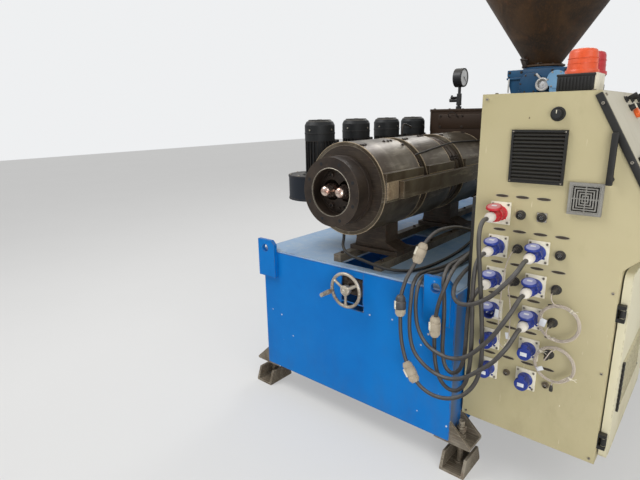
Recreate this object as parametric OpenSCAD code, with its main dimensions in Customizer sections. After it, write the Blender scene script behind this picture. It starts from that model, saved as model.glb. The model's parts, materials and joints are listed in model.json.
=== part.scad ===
// Twin-screw plastic extruder on a welded box base, with its control console.
// Millimetres. X runs to the right, Y from the screw tips to the drive, Z up from the floor.
// Inside the modules, X = 0 is the left face of the base and Y = 0 its front face;
// on_floor() centres the whole machine over the origin.

/* [Base box] */
// Width of the base box
base_w = 1100; // [1000:10:1300]
// Length of the base box
base_l = 3900; // [3700:20:4600]
// Height of the lower edge above the floor
base_bottom = 140; // [120:5:180]
// Height of the top plate above the floor
base_top = 814; // [760:2:860]
// Thickness of the welded plates
base_plate = 10; // [6:1:14]
// Width of the adjusting window in the front plate
window_w = 130; // [110:5:180]
// Height of the adjusting window
window_h = 160; // [120:5:200]
// Width of a lifting lug
lug_w = 120; // [90:5:150]
// Thickness of a lifting lug
lug_t = 20; // [12:1:30]
// Hole in a lifting lug
lug_hole_d = 42; // [30:1:56]
// Height of a lug above the top plate
lug_rise = 52; // [40:2:80]

/* [Feet] */
// Distance of a foot outside the side of the base
foot_out = 30; // [24:2:44]
// Diameter of a levelling screw
screw_d = 24; // [16:2:30]
// Width of a floor shoe
shoe_w = 110; // [90:5:130]
// Length of a floor shoe
shoe_l = 170; // [140:5:200]
// Plate thickness of brackets and shoes
foot_plate = 12; // [8:1:16]

/* [Slide and handwheel] */
// Sideways place of the slide under the barrel
slide_x = 590; // [560:5:620]
// Gap between the two slide rails
rail_gap = 190; // [150:5:220]
// Width of a slide rail
rail_w = 40; // [30:2:50]
// Height of a slide rail
rail_h = 36; // [25:1:45]
// Length of the slide rails
rail_l = 1700; // [1500:20:1900]
// Diameter of the handwheel
wheel_d = 172; // [140:4:220]
// Height of the handwheel shaft above the floor
wheel_z = 720; // [700:5:735]
// Shaft of the handwheel
shaft_d = 20; // [14:1:26]

/* [Barrel] */
// Sideways place of the barrel centre line
barrel_x = 557; // [540:1:580]
// Height of the barrel centre line above the floor
barrel_z = 1175; // [1150:5:1230]
// Outer diameter of the barrel body
barrel_d = 250; // [240:5:270]
// Screw diameter over the flights
flight_d = 92; // [88:1:96]
// Distance between the two screw axes
screw_pitch = 80; // [78:1:82]
// Root diameter of the screws
root_d = 66; // [60:1:70]
// Diameter of the front disc
disc_d = 300; // [285:5:320]
// Thickness of the front disc
disc_t = 95; // [80:5:110]
// Diameter of the recess in the front disc
recess_d = 206; // [195:2:220]
// Diameter over the cooling shroud
shroud_d = 414; // [400:2:440]
// Wall of the cooling shroud
shroud_wall = 16; // [10:1:24]
// Length of the first shroud
shroud_1 = 310; // [280:5:330]
// Length of the second shroud
shroud_2 = 260; // [240:5:290]
// Length of the third shroud
shroud_3 = 330; // [300:5:350]
// Gap between the first two shrouds
shroud_gap = 55; // [40:5:70]
// Wide gap before the third shroud
wide_gap = 140; // [120:5:150]
// Length of each shroud behind the vent box
shroud_4 = 290; // [260:5:310]
// Height of the upper ledges along the shroud split
ledge_h = 82; // [60:2:96]
// Reach of the ledges outside the shroud
ledge_out = 5; // [3:1:12]

/* [Blowers] */
// Distance of the blower motors from the barrel centre line
blower_out = 310; // [300:5:330]
// Diameter of a blower motor over its fins
motor_d = 150; // [130:5:160]
// Height of a blower motor
motor_h = 270; // [240:5:300]
// Diameter of a blower casing
scroll_d = 270; // [250:5:280]
// Height of a blower casing
scroll_h = 124; // [100:4:140]
// Underside of the blower casings above the floor
scroll_z = 1078; // [1050:2:1100]
// Number of cooling fins round a motor
fin_count = 24; // [16:2:32]

/* [Feed and drive] */
// Distance of the feed opening behind the ring face
feed_y = 2620; // [2580:10:2700]
// Diameter of the hopper outlet
throat_d = 250; // [220:5:280]
// Upper diameter of the hopper
hopper_d = 1100; // [900:20:1240]
// Height of the hopper outlet above the floor
hopper_z = 1835; // [1800:5:1900]
// Height of the hopper cone
cone_h = 650; // [560:10:760]
// Height of the straight upper part of the hopper
drum_h = 260; // [160:10:400]
// Sheet thickness of the hopper
hopper_t = 4; // [3:0.5:8]
// Diameter of the drive motor
drive_d = 360; // [300:10:400]

/* [Console] */
// Gap between the base and the console
console_gap = 12; // [8:1:30]
// Setback of the console front behind the base front
console_y = 100; // [80:5:120]
// Width of the console at the bottom
console_w = 511; // [480:5:560]
// Depth of the console along the machine
console_l = 1600; // [1400:20:1900]
// Underside of the console above the floor
console_z0 = 234; // [200:2:260]
// Top of the console above the floor
console_z1 = 1558; // [1520:2:1600]
// Width of the flat top of the console
console_top_w = 385; // [360:5:400]
// Reach of the operator nose
nose_reach = 625; // [600:5:660]
// Height where the operator nose ends
nose_z = 1126; // [1110:2:1150]
// Front edge height of the nose
nose_lip = 30; // [20:2:40]
// Sheet thickness of the console
sheet = 3; // [2:0.5:5]
// Depth of the pressed door
door_t = 25; // [18:1:32]
// Width of the door
door_w = 760; // [700:10:800]
// Row pitch of the sockets
row_pitch = 128; // [118:1:132]
// Column pitch of the sockets
col_pitch = 73.5; // [70:0.5:76]
// Width of a socket flange
flange_w = 75; // [66:1:82]
// Height of a socket flange
flange_h = 85; // [74:1:95]
// Diameter of a socket body
socket_d = 52; // [44:1:58]
// Length of a socket body in front of the panel
socket_l = 56; // [48:1:70]
// Diameter of a power plug
plug_d = 46; // [40:1:50]
// Length of a power plug with its gland nut
plug_l = 80; // [60:2:100]
// Number of slats in the ventilation grille
slat_count = 13; // [8:1:16]
beacon_w = 130; // [110:2:136]
beacon_h = 66; // [50:2:80]
dome_r = 56; // [44:1:60]
dome_h = 89; // [70:1:110]

/* [Hidden] */
$fn = 48;

// Clearances
seat_gap = 0.3;
door_clear = 5;
bearing_play = 0.05;

// Whole machine
shoe_over = 20;
crank_y = -132;
bracket_w = 130;
bracket_l = 120;
left_reach = -foot_out - bracket_w / 2;
right_reach = base_w + console_gap + nose_reach;
mid_x = (left_reach + right_reach) / 2;
mid_y = (crank_y + base_l + shoe_over) / 2;

// Base
inner_w = base_w - 2 * base_plate;
foot_y = [shoe_l / 2 - shoe_over, base_l / 2, base_l - shoe_l / 2 + shoe_over];
foot_x = [-foot_out, base_w + foot_out];
gusset_h = 90;
rail_x = [slide_x - rail_gap / 2 - rail_w, slide_x + rail_gap / 2];
rail_top = base_top + rail_h;
slot_y = 40;
slot_l = 700;
rail_y = 35;

// Barrel stations behind the ring face
second_y = shroud_1 + shroud_gap;
third_y = second_y + shroud_2 + wide_gap;
shroud_end = third_y + shroud_3;
shroud_r = shroud_d / 2;
heater_r = shroud_r - shroud_wall - seat_gap;
bore_d = flight_d + 1.2;
disc_y = -15;
recess_y = disc_y - 34;
die_bolt_x = 39;
die_bolt_z = 68;
die_hole_d = 12;
vent_y = shroud_end + 60;
vent_l = 460;
vent_w = 2 * (shroud_r + ledge_out);
vent_top = 1515;
fourth_y = vent_y + vent_l + 50;
fifth_y = fourth_y + shroud_4 + shroud_gap;
rear_end = fifth_y + shroud_4;
zone_y = [0, second_y, third_y, fourth_y, fifth_y];
zone_len = [shroud_1, shroud_2, shroud_3, shroud_4, shroud_4];
feed_l = 360;
feed_w = 380;
feed_h = 420;
barrel_end = feed_y - feed_l / 2;
neck_y = feed_y + feed_l / 2;
gear_y = neck_y + 60;
gear_l = 480;
gear_w = 560;
gear_h = 700;

// Blowers, one for each zone and one at the front of the vent box
blower_x = barrel_x - blower_out;
blower_pitch = 305;
first_blower = 190;
blower_y = concat(
    [for (i = [0:3]) first_blower + i * blower_pitch],
    [fourth_y + shroud_4 / 2, fifth_y + shroud_4 / 2]
);
casing_end = barrel_x - shroud_r - ledge_out;
scroll_x = casing_end - seat_gap - scroll_d / 2;
motor_z = scroll_z + scroll_h;

// Console outline, seen from the front, counted from its left lower corner
console_x = base_w + console_gap;
under_z = nose_z - nose_lip - (nose_reach - console_w);
console_outline = [
    [0, console_z0],
    [0, console_z1],
    [console_top_w, console_z1],
    [nose_reach, nose_z],
    [nose_reach, nose_z - nose_lip],
    [console_w, under_z],
    [console_w, console_z0]
];
inner_l = console_l - 2 * sheet;
door_y = console_y + 26;
door_z0 = console_z0 + 14;
door_z1 = under_z - 14;
door_x = console_x + console_w + door_clear;
hinge_x = door_x + door_t / 2;
hinge_y = console_y + 12;
hinge_z = [console_z0 + 100, under_z - 150];
col_x = [for (i = [0:3]) console_x + 99 + i * col_pitch];
row_z = [for (i = [0:5]) 1130 - i * row_pitch];

// Cables: plugs in the sockets given by column and row, and the box where they end
plugged = [[0, 0], [0, 1], [0, 2], [2, 1], [2, 2], [2, 3]];
cable_d = 16;
sensor_d = 8;
coupling_d = 46;
nut_d = 34;
gland_l = 16;
box_w = 140;
box_edge_gap = 25;
box_x = base_w - box_w - box_edge_gap;
box_y = 700;
box_l = 340;
box_h = 120;
gland_x = [box_x + 30, box_x + box_w / 2, box_x + box_w - 30];
gland_z = [base_top + 36, base_top + 81];
side_gland_y = box_y + 60;
zone_cable_x = 505;
zone_cable_y = 50;
zone_cable_z = 962;
sensor_y = 318;
sensor_a = 49;
beacon_at = [262, 350, 480];

// Thin leads and their coils, on the connectors given by column and row
lead_at = [[1, 1], [1, 2], [3, 2], [3, 3], [3, 4]];
lead_d = 4;
connector_d = 32;
connector_l = 34;
lead_y = console_y - 20 - connector_l;
coil_d = 132;
hank_d = 10;
coil_1_at = [1460, 64, 762];
coil_2_at = [1460, 64, 600];

// Line through two points moved to the inner side by t, as a point and a direction
function unit(v) = v / norm(v);
function inner_normal(a, b) = [unit(b - a)[1], -unit(b - a)[0]];
function cross2(a, b) = a[0] * b[1] - a[1] * b[0];
function meet(p, u, q, v) = p + u * (cross2(q - p, v) / cross2(u, v));

// Corner of the outline moved inwards by t on both of its sides
function inset_point(pts, i, t) =
    let (n = len(pts), a = pts[(i + n - 1) % n], b = pts[i], c = pts[(i + 1) % n])
    meet(b + inner_normal(a, b) * t, b - a, b + inner_normal(b, c) * t, c - b);

module on_floor() {
    translate([-mid_x, -mid_y, 0]) children();
}

// A box given by its low corner and its size
module block(at, size) {
    translate(at) cube(size);
}

// A cylinder along Y, from y to y + l
module rod_y(x, y, z, d, l) {
    translate([x, y, z]) rotate([-90, 0, 0]) cylinder(d = d, h = l);
}

// A cylinder along X, from x to x + l
module rod_x(x, y, z, d, l) {
    translate([x, y, z]) rotate([0, 90, 0]) cylinder(d = d, h = l);
}

// A flat outline drawn in X and Z, made l thick along Y from y
module slab_y(y, l) {
    translate([0, y + l, 0]) rotate([90, 0, 0]) linear_extrude(l) children();
}

// A flat outline drawn in Y and Z, made l thick along X from x
module slab_x(x, l) {
    translate([x, 0, 0]) rotate([90, 0, 90]) linear_extrude(l) children();
}

// A rectangle with round corners
module round_rect(w, h, r) {
    translate([r, 0]) square([w - 2 * r, h]);
    translate([0, r]) square([w, h - 2 * r]);
    for (x = [r, w - r], y = [r, h - r]) translate([x, y]) circle(r);
}

// Base box

module base_front_plate() {
    color("dodgerblue") on_floor() difference() {
        block([0, 0, base_bottom], [base_w, base_plate, base_top - base_bottom - base_plate]);
        block(
            [slide_x - window_w / 2, -1, wheel_z - 30 - window_h / 2],
            [window_w, base_plate + 2, window_h]
        );
    }
}

// Both side plates and the rear plate
module base_side_plates() {
    plate_h = base_top - base_bottom - base_plate;
    color("dodgerblue") on_floor() {
        for (x = [0, base_w - base_plate])
            block([x, base_plate, base_bottom], [base_plate, base_l - 2 * base_plate, plate_h]);
        block([0, base_l - base_plate, base_bottom], [base_w, base_plate, plate_h]);
    }
}

module base_top_plate() {
    color("lightsteelblue") on_floor() difference() {
        block([0, 0, base_top - base_plate], [base_w, base_l, base_plate]);
        block(
            [slide_x - rail_gap / 2, slot_y, base_top - base_plate - 1],
            [rail_gap, slot_l, base_plate + 2]
        );
    }
}

module lifting_lug() {
    difference() {
        slab_y(-lug_t, lug_t) difference() {
            translate([0, base_top - 148]) square([lug_w, 148 + lug_rise]);
            translate([lug_w, base_top + lug_rise]) rotate(45) square(30, center = true);
        }
        rod_y(52, -lug_t - 1, base_top + 6, lug_hole_d, lug_t + 2);
    }
}

module lifting_lugs() {
    color("dodgerblue") on_floor() {
        translate([-20, 0, 0]) lifting_lug();
        translate([base_w - lug_w - 13, 0, 0]) lifting_lug();
        translate([lug_w - 20, base_l, 0]) rotate([0, 0, 180]) lifting_lug();
        translate([base_w - 13, base_l, 0]) rotate([0, 0, 180]) lifting_lug();
    }
}

// Feet

module leg_bracket() {
    // The plate reaches under the box, and two gussets stand on its outer part
    block(
        [-bracket_w / 2 - 35, -bracket_l / 2, base_bottom - foot_plate],
        [bracket_w + 35, bracket_l, foot_plate]
    );
    difference() {
        for (y = [-bracket_l / 2, bracket_l / 2 - foot_plate])
            slab_y(y, foot_plate) polygon([
                [-foot_out, base_bottom],
                [bracket_w / 2, base_bottom],
                [-foot_out, base_bottom + gusset_h]
            ]);
    }
}

module leg_brackets() {
    color("gray") on_floor() for (y = foot_y) {
        difference() {
            translate([base_w + foot_out, y, 0]) leg_bracket();
            translate([base_w + foot_out, y, 0]) cylinder(d = screw_d + 2 * bearing_play, h = base_top);
        }
        difference() {
            translate([-foot_out, y, 0]) mirror([1, 0, 0]) leg_bracket();
            translate([-foot_out, y, 0]) cylinder(d = screw_d + 2 * bearing_play, h = base_top);
        }
    }
}

module levelling_screws() {
    color("dimgray") on_floor() for (x = foot_x, y = foot_y) translate([x, y, foot_plate]) {
        cylinder(d = screw_d * 1.8, h = 10);
        cylinder(d = screw_d, h = base_bottom + 30 - foot_plate);
        translate([0, 0, base_bottom - foot_plate]) cylinder(d = screw_d * 1.75, h = 18, $fn = 6);
        translate([0, 0, base_bottom - 2 * foot_plate - 18])
            cylinder(d = screw_d * 1.75, h = 18, $fn = 6);
    }
}

module floor_shoes() {
    color("dimgray") on_floor() for (x = foot_x, y = foot_y) {
        block([x - shoe_w / 2, y - shoe_l / 2, 0], [shoe_w, shoe_l, foot_plate]);
        for (side = [-shoe_w / 2, shoe_w / 2 - foot_plate])
            slab_x(x + side, foot_plate) polygon([
                [y - shoe_l / 2, foot_plate],
                [y + shoe_l / 2, foot_plate],
                [y + shoe_l / 2 - 25, 78],
                [y - shoe_l / 2 + 25, 78]
            ]);
    }
}

// Slide and handwheel

module slide_rails() {
    color("dimgray") on_floor() for (x = rail_x)
        block([x, rail_y, base_top], [rail_w, rail_l, rail_h]);
}

// A saddle column on a foot plate, under a round shell of radius r
module pedestal(y, l, r) {
    plate = 20;
    span = rail_gap + 2 * rail_w;
    block([slide_x - span / 2, y - l / 2 - 30, rail_top], [span, l + 60, plate]);
    difference() {
        slab_y(y - l / 2, l) polygon([
            [slide_x - span / 2 + 10, rail_top + plate],
            [slide_x + span / 2 - 10, rail_top + plate],
            [barrel_x + 85, rail_top + plate + 30],
            [barrel_x + 85, barrel_z - r + 40],
            [barrel_x - 85, barrel_z - r + 40],
            [barrel_x - 85, rail_top + plate + 30]
        ]);
        rod_y(barrel_x, y - l, barrel_z, 2 * r, 2 * l);
    }
}

module barrel_pedestals() {
    color("dimgray") on_floor() {
        pedestal(250, 110, shroud_r + seat_gap);
        pedestal(third_y + shroud_3 / 2, 110, shroud_r + seat_gap);
    }
}

module handwheel_bearing() {
    color("dimgray") on_floor() difference() {
        block([slide_x - window_w / 2 - 25, base_plate, wheel_z - 40], [window_w + 50, 30, 80]);
        rod_y(slide_x, 0, wheel_z, shaft_d + 2 * bearing_play, 60);
    }
}

module handwheel() {
    rim = 15;
    color("darkgray") on_floor() translate([slide_x, 0, wheel_z]) {
        translate([0, -50, 0]) rotate([90, 0, 0])
            rotate_extrude() translate([wheel_d / 2 - rim / 2, 0]) circle(d = rim);
        rod_y(0, -62, 0, 40, 30);
        rod_y(0, -62, 0, shaft_d, 110);
        for (a = [90, 210, 330]) translate([0, -50, 0])
            rotate([0, a, 0]) rod_x(10, 0, 0, 13, wheel_d / 2 - 15);
        translate([0, -50, 0]) rotate([0, 168, 0]) translate([wheel_d / 2 - rim / 2, 0, 0]) {
            rod_y(0, crank_y + 50, 0, 18, -crank_y - 50);
        }
    }
}

// Barrel and screws

module screw_bores(y, l, d) {
    for (side = [-1, 1]) rod_y(barrel_x + side * screw_pitch / 2, y, barrel_z, d, l);
}

module barrel() {
    color("gray") on_floor() difference() {
        union() {
            rod_y(barrel_x, disc_y, barrel_z, barrel_d, barrel_end - disc_y);
            rod_y(barrel_x, barrel_end - 40, barrel_z, barrel_d + 60, 40);
        }
        screw_bores(disc_y - 1, barrel_end - disc_y + 2, bore_d);
    }
}

module front_disc() {
    color("saddlebrown") on_floor() difference() {
        union() {
            rod_y(barrel_x, disc_y - disc_t, barrel_z, disc_d, disc_t);
            rod_y(barrel_x, disc_y, barrel_z, disc_d - 24, -disc_y - seat_gap);
        }
        rod_y(barrel_x, disc_y - disc_t - 1, barrel_z, recess_d, recess_y - disc_y + disc_t + 1);
        rod_y(barrel_x, disc_y, barrel_z, barrel_d + 2 * seat_gap, 40);
        screw_bores(disc_y - disc_t - 1, disc_t + 40, bore_d);
        for (dx = [-die_bolt_x, die_bolt_x], dz = [-die_bolt_z, die_bolt_z])
            rod_y(barrel_x + dx, recess_y - 1, barrel_z + dz, die_hole_d, 25);
    }
}

// Heaters lie round the barrel and show in the gaps between the shrouds
module barrel_heaters() {
    color("saddlebrown") on_floor() difference() {
        union() {
            rod_y(barrel_x, 0, barrel_z, 2 * heater_r, shroud_end);
            rod_y(barrel_x, fourth_y, barrel_z, 2 * heater_r, rear_end - fourth_y);
            // Sleeve of the sensor lead, in the first gap
            translate([barrel_x, sensor_y, barrel_z]) rotate([0, sensor_a, 0])
                translate([0, 0, heater_r - 6]) rotate([-45, 0, 0]) cylinder(d = 14, h = 20);
        }
        rod_y(barrel_x, -1, barrel_z, barrel_d + 2 * seat_gap, rear_end + 2);
    }
}

// Half of a shroud with its ledges along the split; up is 1 for the upper half
module shroud_half(y, l, up) {
    difference() {
        union() {
            rod_y(barrel_x, y, barrel_z, shroud_d, l);
            for (side = [-1, 1]) translate([barrel_x, y, barrel_z])
                block(
                    [side > 0 ? shroud_r - 70 : -shroud_r - ledge_out, 0, -ledge_h / 2],
                    [70 + ledge_out, l, ledge_h * 1.5]
                );
        }
        rod_y(barrel_x, y - 1, barrel_z, 2 * (heater_r + seat_gap), l + 2);
        translate([barrel_x - shroud_d, y - 1, up > 0 ? barrel_z - shroud_d : barrel_z])
            cube([2 * shroud_d, l + 2, shroud_d]);
    }
}

module shroud_uppers() {
    color("tan") on_floor() for (i = [0:4]) shroud_half(zone_y[i], zone_len[i], 1);
}

module shroud_lowers() {
    color("tan") on_floor() {
        for (i = [0:4]) shroud_half(zone_y[i], zone_len[i], -1);
        // The gland of the front heater
        translate([zone_cable_x, zone_cable_y, zone_cable_z]) cylinder(d = nut_d - 8, h = 24);
    }
}

module side_bar() {
    color("tan") on_floor()
        block([barrel_x + shroud_r + ledge_out, 90, barrel_z - 32], [30, third_y - 60, 75]);
}

// A screw with its polished cone tip; side is -1 for the left one
module screw(side) {
    tip_y = disc_y - disc_t + 6;
    body_y = disc_y - 40;
    translate([barrel_x + side * screw_pitch / 2, 0, barrel_z]) {
        translate([0, body_y, 0]) rotate([90, 0, 0]) rotate_extrude() polygon([
            [0, 0],
            [root_d / 2, 0],
            [root_d / 2 - 2, 10],
            [22, 22],
            [16, 40],
            [5, body_y - tip_y],
            [0, body_y - tip_y + 1]
        ]);
        rod_y(0, body_y, 0, root_d, gear_y - body_y + 40);
    }
}

module screw_left() {
    color("silver") on_floor() screw(-1);
}

module screw_right() {
    color("silver") on_floor() screw(1);
}

// Blowers

module blower_motor(y) {
    body_d = motor_d - 16;
    translate([blower_x, y, motor_z]) {
        cylinder(d = motor_d, h = 14);
        rotate_extrude() polygon([
            [0, 14],
            [body_d / 2, 14],
            [body_d / 2, motor_h * 0.62],
            [motor_d / 2, motor_h * 0.62],
            [motor_d / 2, motor_h - 26],
            [motor_d / 2 - 8, motor_h - 10],
            [motor_d / 2 - 24, motor_h],
            [0, motor_h]
        ]);
        for (i = [0:fin_count - 1]) rotate(i * 360 / fin_count)
            block([body_d / 2 - 4, -1.6, 13], [11, 3.2, motor_h * 0.62 - 12]);
    }
}

module blower_motors() {
    color("black") on_floor() for (y = blower_y) blower_motor(y);
}

module blower_casings() {
    outlet_w = 180;
    color("navy") on_floor() for (y = blower_y) translate([scroll_x, y, scroll_z]) {
        cylinder(d = scroll_d, h = scroll_h);
        block([0, -outlet_w / 2, 8], [scroll_d / 2, outlet_w, scroll_h - 16]);
    }
}

// Vent box, feed and drive

module vent_box() {
    color("sienna") on_floor() difference() {
        block(
            [barrel_x - vent_w / 2, vent_y, barrel_z - 190],
            [vent_w, vent_l, vent_top - barrel_z + 190]
        );
        rod_y(barrel_x, vent_y - 1, barrel_z, barrel_d + 2 * seat_gap, vent_l + 2);
    }
}

module pressure_gauge() {
    gauge_x = barrel_x - 55;
    gauge_y = vent_y + 60;
    gauge_z = 1698;
    dial_d = 110;
    color("black") on_floor() {
        translate([gauge_x, gauge_y, vent_top]) {
            cylinder(d = 34, h = 16);
            cylinder(d = 18, h = gauge_z - vent_top);
            translate([0, 0, 30]) cylinder(d = 30, h = 46);
            rod_x(-60, 0, 52, 22, 60);
            translate([-48, 0, 52]) cylinder(d = 12, h = 30);
        }
        rod_x(gauge_x - 24, gauge_y, gauge_z, dial_d, 48);
    }
}

module feed_block() {
    color("slategray") on_floor() difference() {
        block(
            [barrel_x - feed_w / 2, feed_y - feed_l / 2, barrel_z - feed_h / 2],
            [feed_w, feed_l, feed_h]
        );
        screw_bores(feed_y - feed_l, 2 * feed_l, bore_d);
        translate([barrel_x, feed_y, barrel_z]) cylinder(d = throat_d - 60, h = feed_h);
    }
}

module feeder() {
    foot_z = barrel_z + feed_h / 2;
    color("steelblue") on_floor() difference() {
        union() {
            slab_y(feed_y - 150, 300) polygon([
                [barrel_x - 125, foot_z],
                [barrel_x + 125, foot_z],
                [barrel_x + 230, hopper_z - 60],
                [barrel_x + 230, hopper_z - 20],
                [barrel_x - 230, hopper_z - 20],
                [barrel_x - 230, hopper_z - 60]
            ]);
            translate([barrel_x, feed_y, hopper_z - 20]) cylinder(d = throat_d + 70, h = 20);
            rod_y(barrel_x - 70, feed_y - 210, hopper_z - 120, 230, 62);
            rod_y(barrel_x, feed_y - 262, hopper_z - 120, 104, 54);
        }
        translate([barrel_x, feed_y, foot_z - 1]) cylinder(d = throat_d - 60, h = hopper_z);
    }
}

module hopper_cone() {
    color("saddlebrown") on_floor() translate([barrel_x, feed_y, hopper_z]) {
        rotate_extrude() polygon([
            [throat_d / 2 - hopper_t, 12],
            [throat_d / 2, 12],
            [hopper_d / 2, cone_h],
            [hopper_d / 2 - hopper_t, cone_h]
        ]);
        difference() {
            cylinder(d = throat_d + 70, h = 12);
            translate([0, 0, -1]) cylinder(d = throat_d - 2 * hopper_t, h = 14);
        }
    }
}

module hopper_drum() {
    color("saddlebrown") on_floor() translate([barrel_x, feed_y, hopper_z + cone_h]) difference() {
        union() {
            cylinder(d = hopper_d, h = drum_h);
            translate([0, 0, drum_h - 20]) cylinder(d = hopper_d + 24, h = 20);
        }
        translate([0, 0, -1]) cylinder(d = hopper_d - 2 * hopper_t, h = drum_h + 2);
    }
}

module gearbox() {
    color("dodgerblue") on_floor() difference() {
        union() {
            block([barrel_x - gear_w / 2, gear_y, barrel_z - gear_h / 2], [gear_w, gear_l, gear_h]);
            for (z = [barrel_z - gear_h / 2, barrel_z - 15, barrel_z + gear_h / 2 - 30])
                block([barrel_x - gear_w / 2 - 20, gear_y - 20, z], [gear_w + 40, gear_l + 40, 30]);
            rod_y(barrel_x, neck_y, barrel_z, barrel_d + 60, gear_y - neck_y);
        }
        screw_bores(neck_y - 1, gear_y - neck_y + 60, root_d + 2 * seat_gap);
    }
}

module drive_motor() {
    motor_y = gear_y + gear_l + 20;
    long = base_l - motor_y - 40;
    color("dodgerblue") on_floor() {
        rod_y(barrel_x, motor_y, barrel_z, drive_d - 40, long);
        rod_y(barrel_x, motor_y, barrel_z, drive_d + 40, 24);
        rod_y(barrel_x, base_l - 130, barrel_z, drive_d, 90);
        block([barrel_x - 90, motor_y + 60, barrel_z + drive_d / 2 - 40], [180, 160, 110]);
    }
}

// Frame that carries the feed block, gearbox and motor
module drive_stand() {
    stand_top = barrel_z - gear_h / 2;
    color("dodgerblue") on_floor() {
        block(
            [barrel_x - gear_w / 2 - 20, feed_y - feed_l / 2 - 20, base_top],
            [gear_w + 40, base_l - feed_y + feed_l / 2 - 20, stand_top - base_top]
        );
        block(
            [barrel_x - feed_w / 2 + 40, feed_y - feed_l / 2, stand_top],
            [feed_w - 80, feed_l, barrel_z - feed_h / 2 - stand_top]
        );
        block(
            [barrel_x - drive_d / 2 + 50, base_l - 260, stand_top],
            [drive_d - 100, 160, barrel_z - drive_d / 2 - stand_top - seat_gap]
        );
    }
}

// Console

// Wall of the console between two corners of its outline, mitred at both
module console_wall(from, to) {
    for (i = [from:to - 1]) let (n = len(console_outline), j = (i + 1) % n)
        translate([console_x, 0, 0]) slab_y(console_y + sheet, inner_l) polygon([
            console_outline[i],
            console_outline[j],
            inset_point(console_outline, j, sheet),
            inset_point(console_outline, i, sheet)
        ]);
}

module console_end(y) {
    translate([console_x, 0, 0]) slab_y(y, sheet) polygon(console_outline);
}

// Place of the grille and the fan filter on the front panel
grille_x = 119;
grille_z = 1249;
grille_w = 184;
grille_h = 185;
filter_x = 326;
filter_z = 1156;
filter_w = 103;
filter_h = 108;

module console_front_panel() {
    color("tan") on_floor() difference() {
        console_end(console_y);
        block(
            [console_x + grille_x + 8, console_y - 1, grille_z + 8],
            [grille_w - 16, sheet + 2, grille_h - 16]
        );
        block(
            [console_x + filter_x + 8, console_y - 1, filter_z + 8],
            [filter_w - 16, sheet + 2, filter_h - 16]
        );
    }
}

// Left wall, top, bottom and rear panel
module console_walls() {
    color("tan") on_floor() {
        console_wall(0, 2);
        console_wall(6, 7);
        console_end(console_y + console_l - sheet);
    }
}

module operator_panel() {
    color("lightgray") on_floor() console_wall(2, 3);
}

module console_nose() {
    color("tan") on_floor() console_wall(3, 5);
}

module console_side_wall() {
    color("tan") on_floor() difference() {
        console_wall(5, 6);
        block(
            [console_x + console_w - 20, door_y + 30, door_z0 + 30],
            [40, door_w - 60, door_z1 - door_z0 - 60]
        );
    }
}

// Pressed door with a rim, open towards the console, with its two hinge knuckles
module console_door() {
    door_h = door_z1 - door_z0;
    color("beige") on_floor() {
        difference() {
            slab_x(door_x, door_t) translate([door_y, door_z0]) round_rect(door_w, door_h, 30);
            slab_x(door_x - 1, door_t + 1 - sheet) translate([door_y + sheet, door_z0 + sheet])
                round_rect(door_w - 2 * sheet, door_h - 2 * sheet, 30 - sheet);
            slab_x(door_x, door_t + 1) translate([door_y + 90, 420])
                for (i = [0:9]) translate([0, i * 20]) square([400, 9]);
        }
        for (z = hinge_z) difference() {
            union() {
                translate([hinge_x, hinge_y, z - 15]) cylinder(d = 18, h = 30);
                block([hinge_x - 4, hinge_y, z - 15], [8, door_y - hinge_y + 1, 30]);
            }
            translate([hinge_x, hinge_y, z - 20]) cylinder(d = 8 + 2 * seat_gap, h = 40);
        }
        for (i = [0:9])
            slab_x(door_x + door_t - 0.1, 8) translate([door_y + 90, 420 + i * 20 + 9]) square([400, 3]);
    }
}

// Hinge clevises and pins on the side wall
module door_hinges() {
    color("black") on_floor() for (z = hinge_z) {
        block([console_x + console_w, console_y, z - 30], [3, 22, 60]);
        for (up = [-30, 17]) translate([0, 0, z + up])
            block([console_x + console_w, console_y, 0], [hinge_x - console_x - console_w + 9, 21, 13]);
        translate([hinge_x, hinge_y, z - 30]) cylinder(d = 8, h = 60);
    }
}

module console_arms() {
    color("gray") on_floor() for (y = [console_y + 120, console_y + console_l - 200]) {
        block([base_w, y, console_z0 - 60 - seat_gap], [console_gap + console_w * 0.8, 80, 60]);
    }
}

// Louvred grille with slanted slats in a frame
module louvre_grille() {
    frame = 8;
    depth = 12;
    pitch = (grille_h - 2 * frame) / slat_count;
    color("black") on_floor() translate([console_x + grille_x, console_y - depth, grille_z]) {
        difference() {
            cube([grille_w, depth, grille_h]);
            block([frame, -1, frame], [grille_w - 2 * frame, depth + 2, grille_h - 2 * frame]);
        }
        for (i = [0:slat_count - 1]) slab_x(frame - 1, grille_w - 2 * frame + 2)
            translate([0, frame + i * pitch]) polygon([
                [1, 1],
                [1, 5],
                [depth - 1, pitch - 1],
                [depth - 1, pitch - 4]
            ]);
    }
}

// Fan filter with square rings in its cover
module fan_filter() {
    depth = 16;
    bar = 4;
    rings = 5;
    step = (filter_w - 20) / 2 / rings;
    color("gray") on_floor() translate([console_x + filter_x, console_y - depth, filter_z]) {
        difference() {
            cube([filter_w, depth, filter_h]);
            block([8, -1, 8], [filter_w - 16, depth + 2, filter_h - 16]);
        }
        for (i = [0:rings - 1]) difference() {
            block(
                [8 + i * step, 2, 8 + i * step],
                [filter_w - 16 - 2 * i * step, 6, filter_h - 16 - 2 * i * step]
            );
            block([8 + i * step + bar, 1, 8 + i * step + bar],
                [filter_w - 16 - 2 * i * step - 2 * bar, 8, filter_h - 16 - 2 * i * step - 2 * bar]);
        }
        block([8, 3, filter_h / 2 - 2], [filter_w - 16, 6, 4]);
        block([filter_w / 2 - 2, 3, 8], [4, 6, filter_h - 16]);
    }
}

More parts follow.
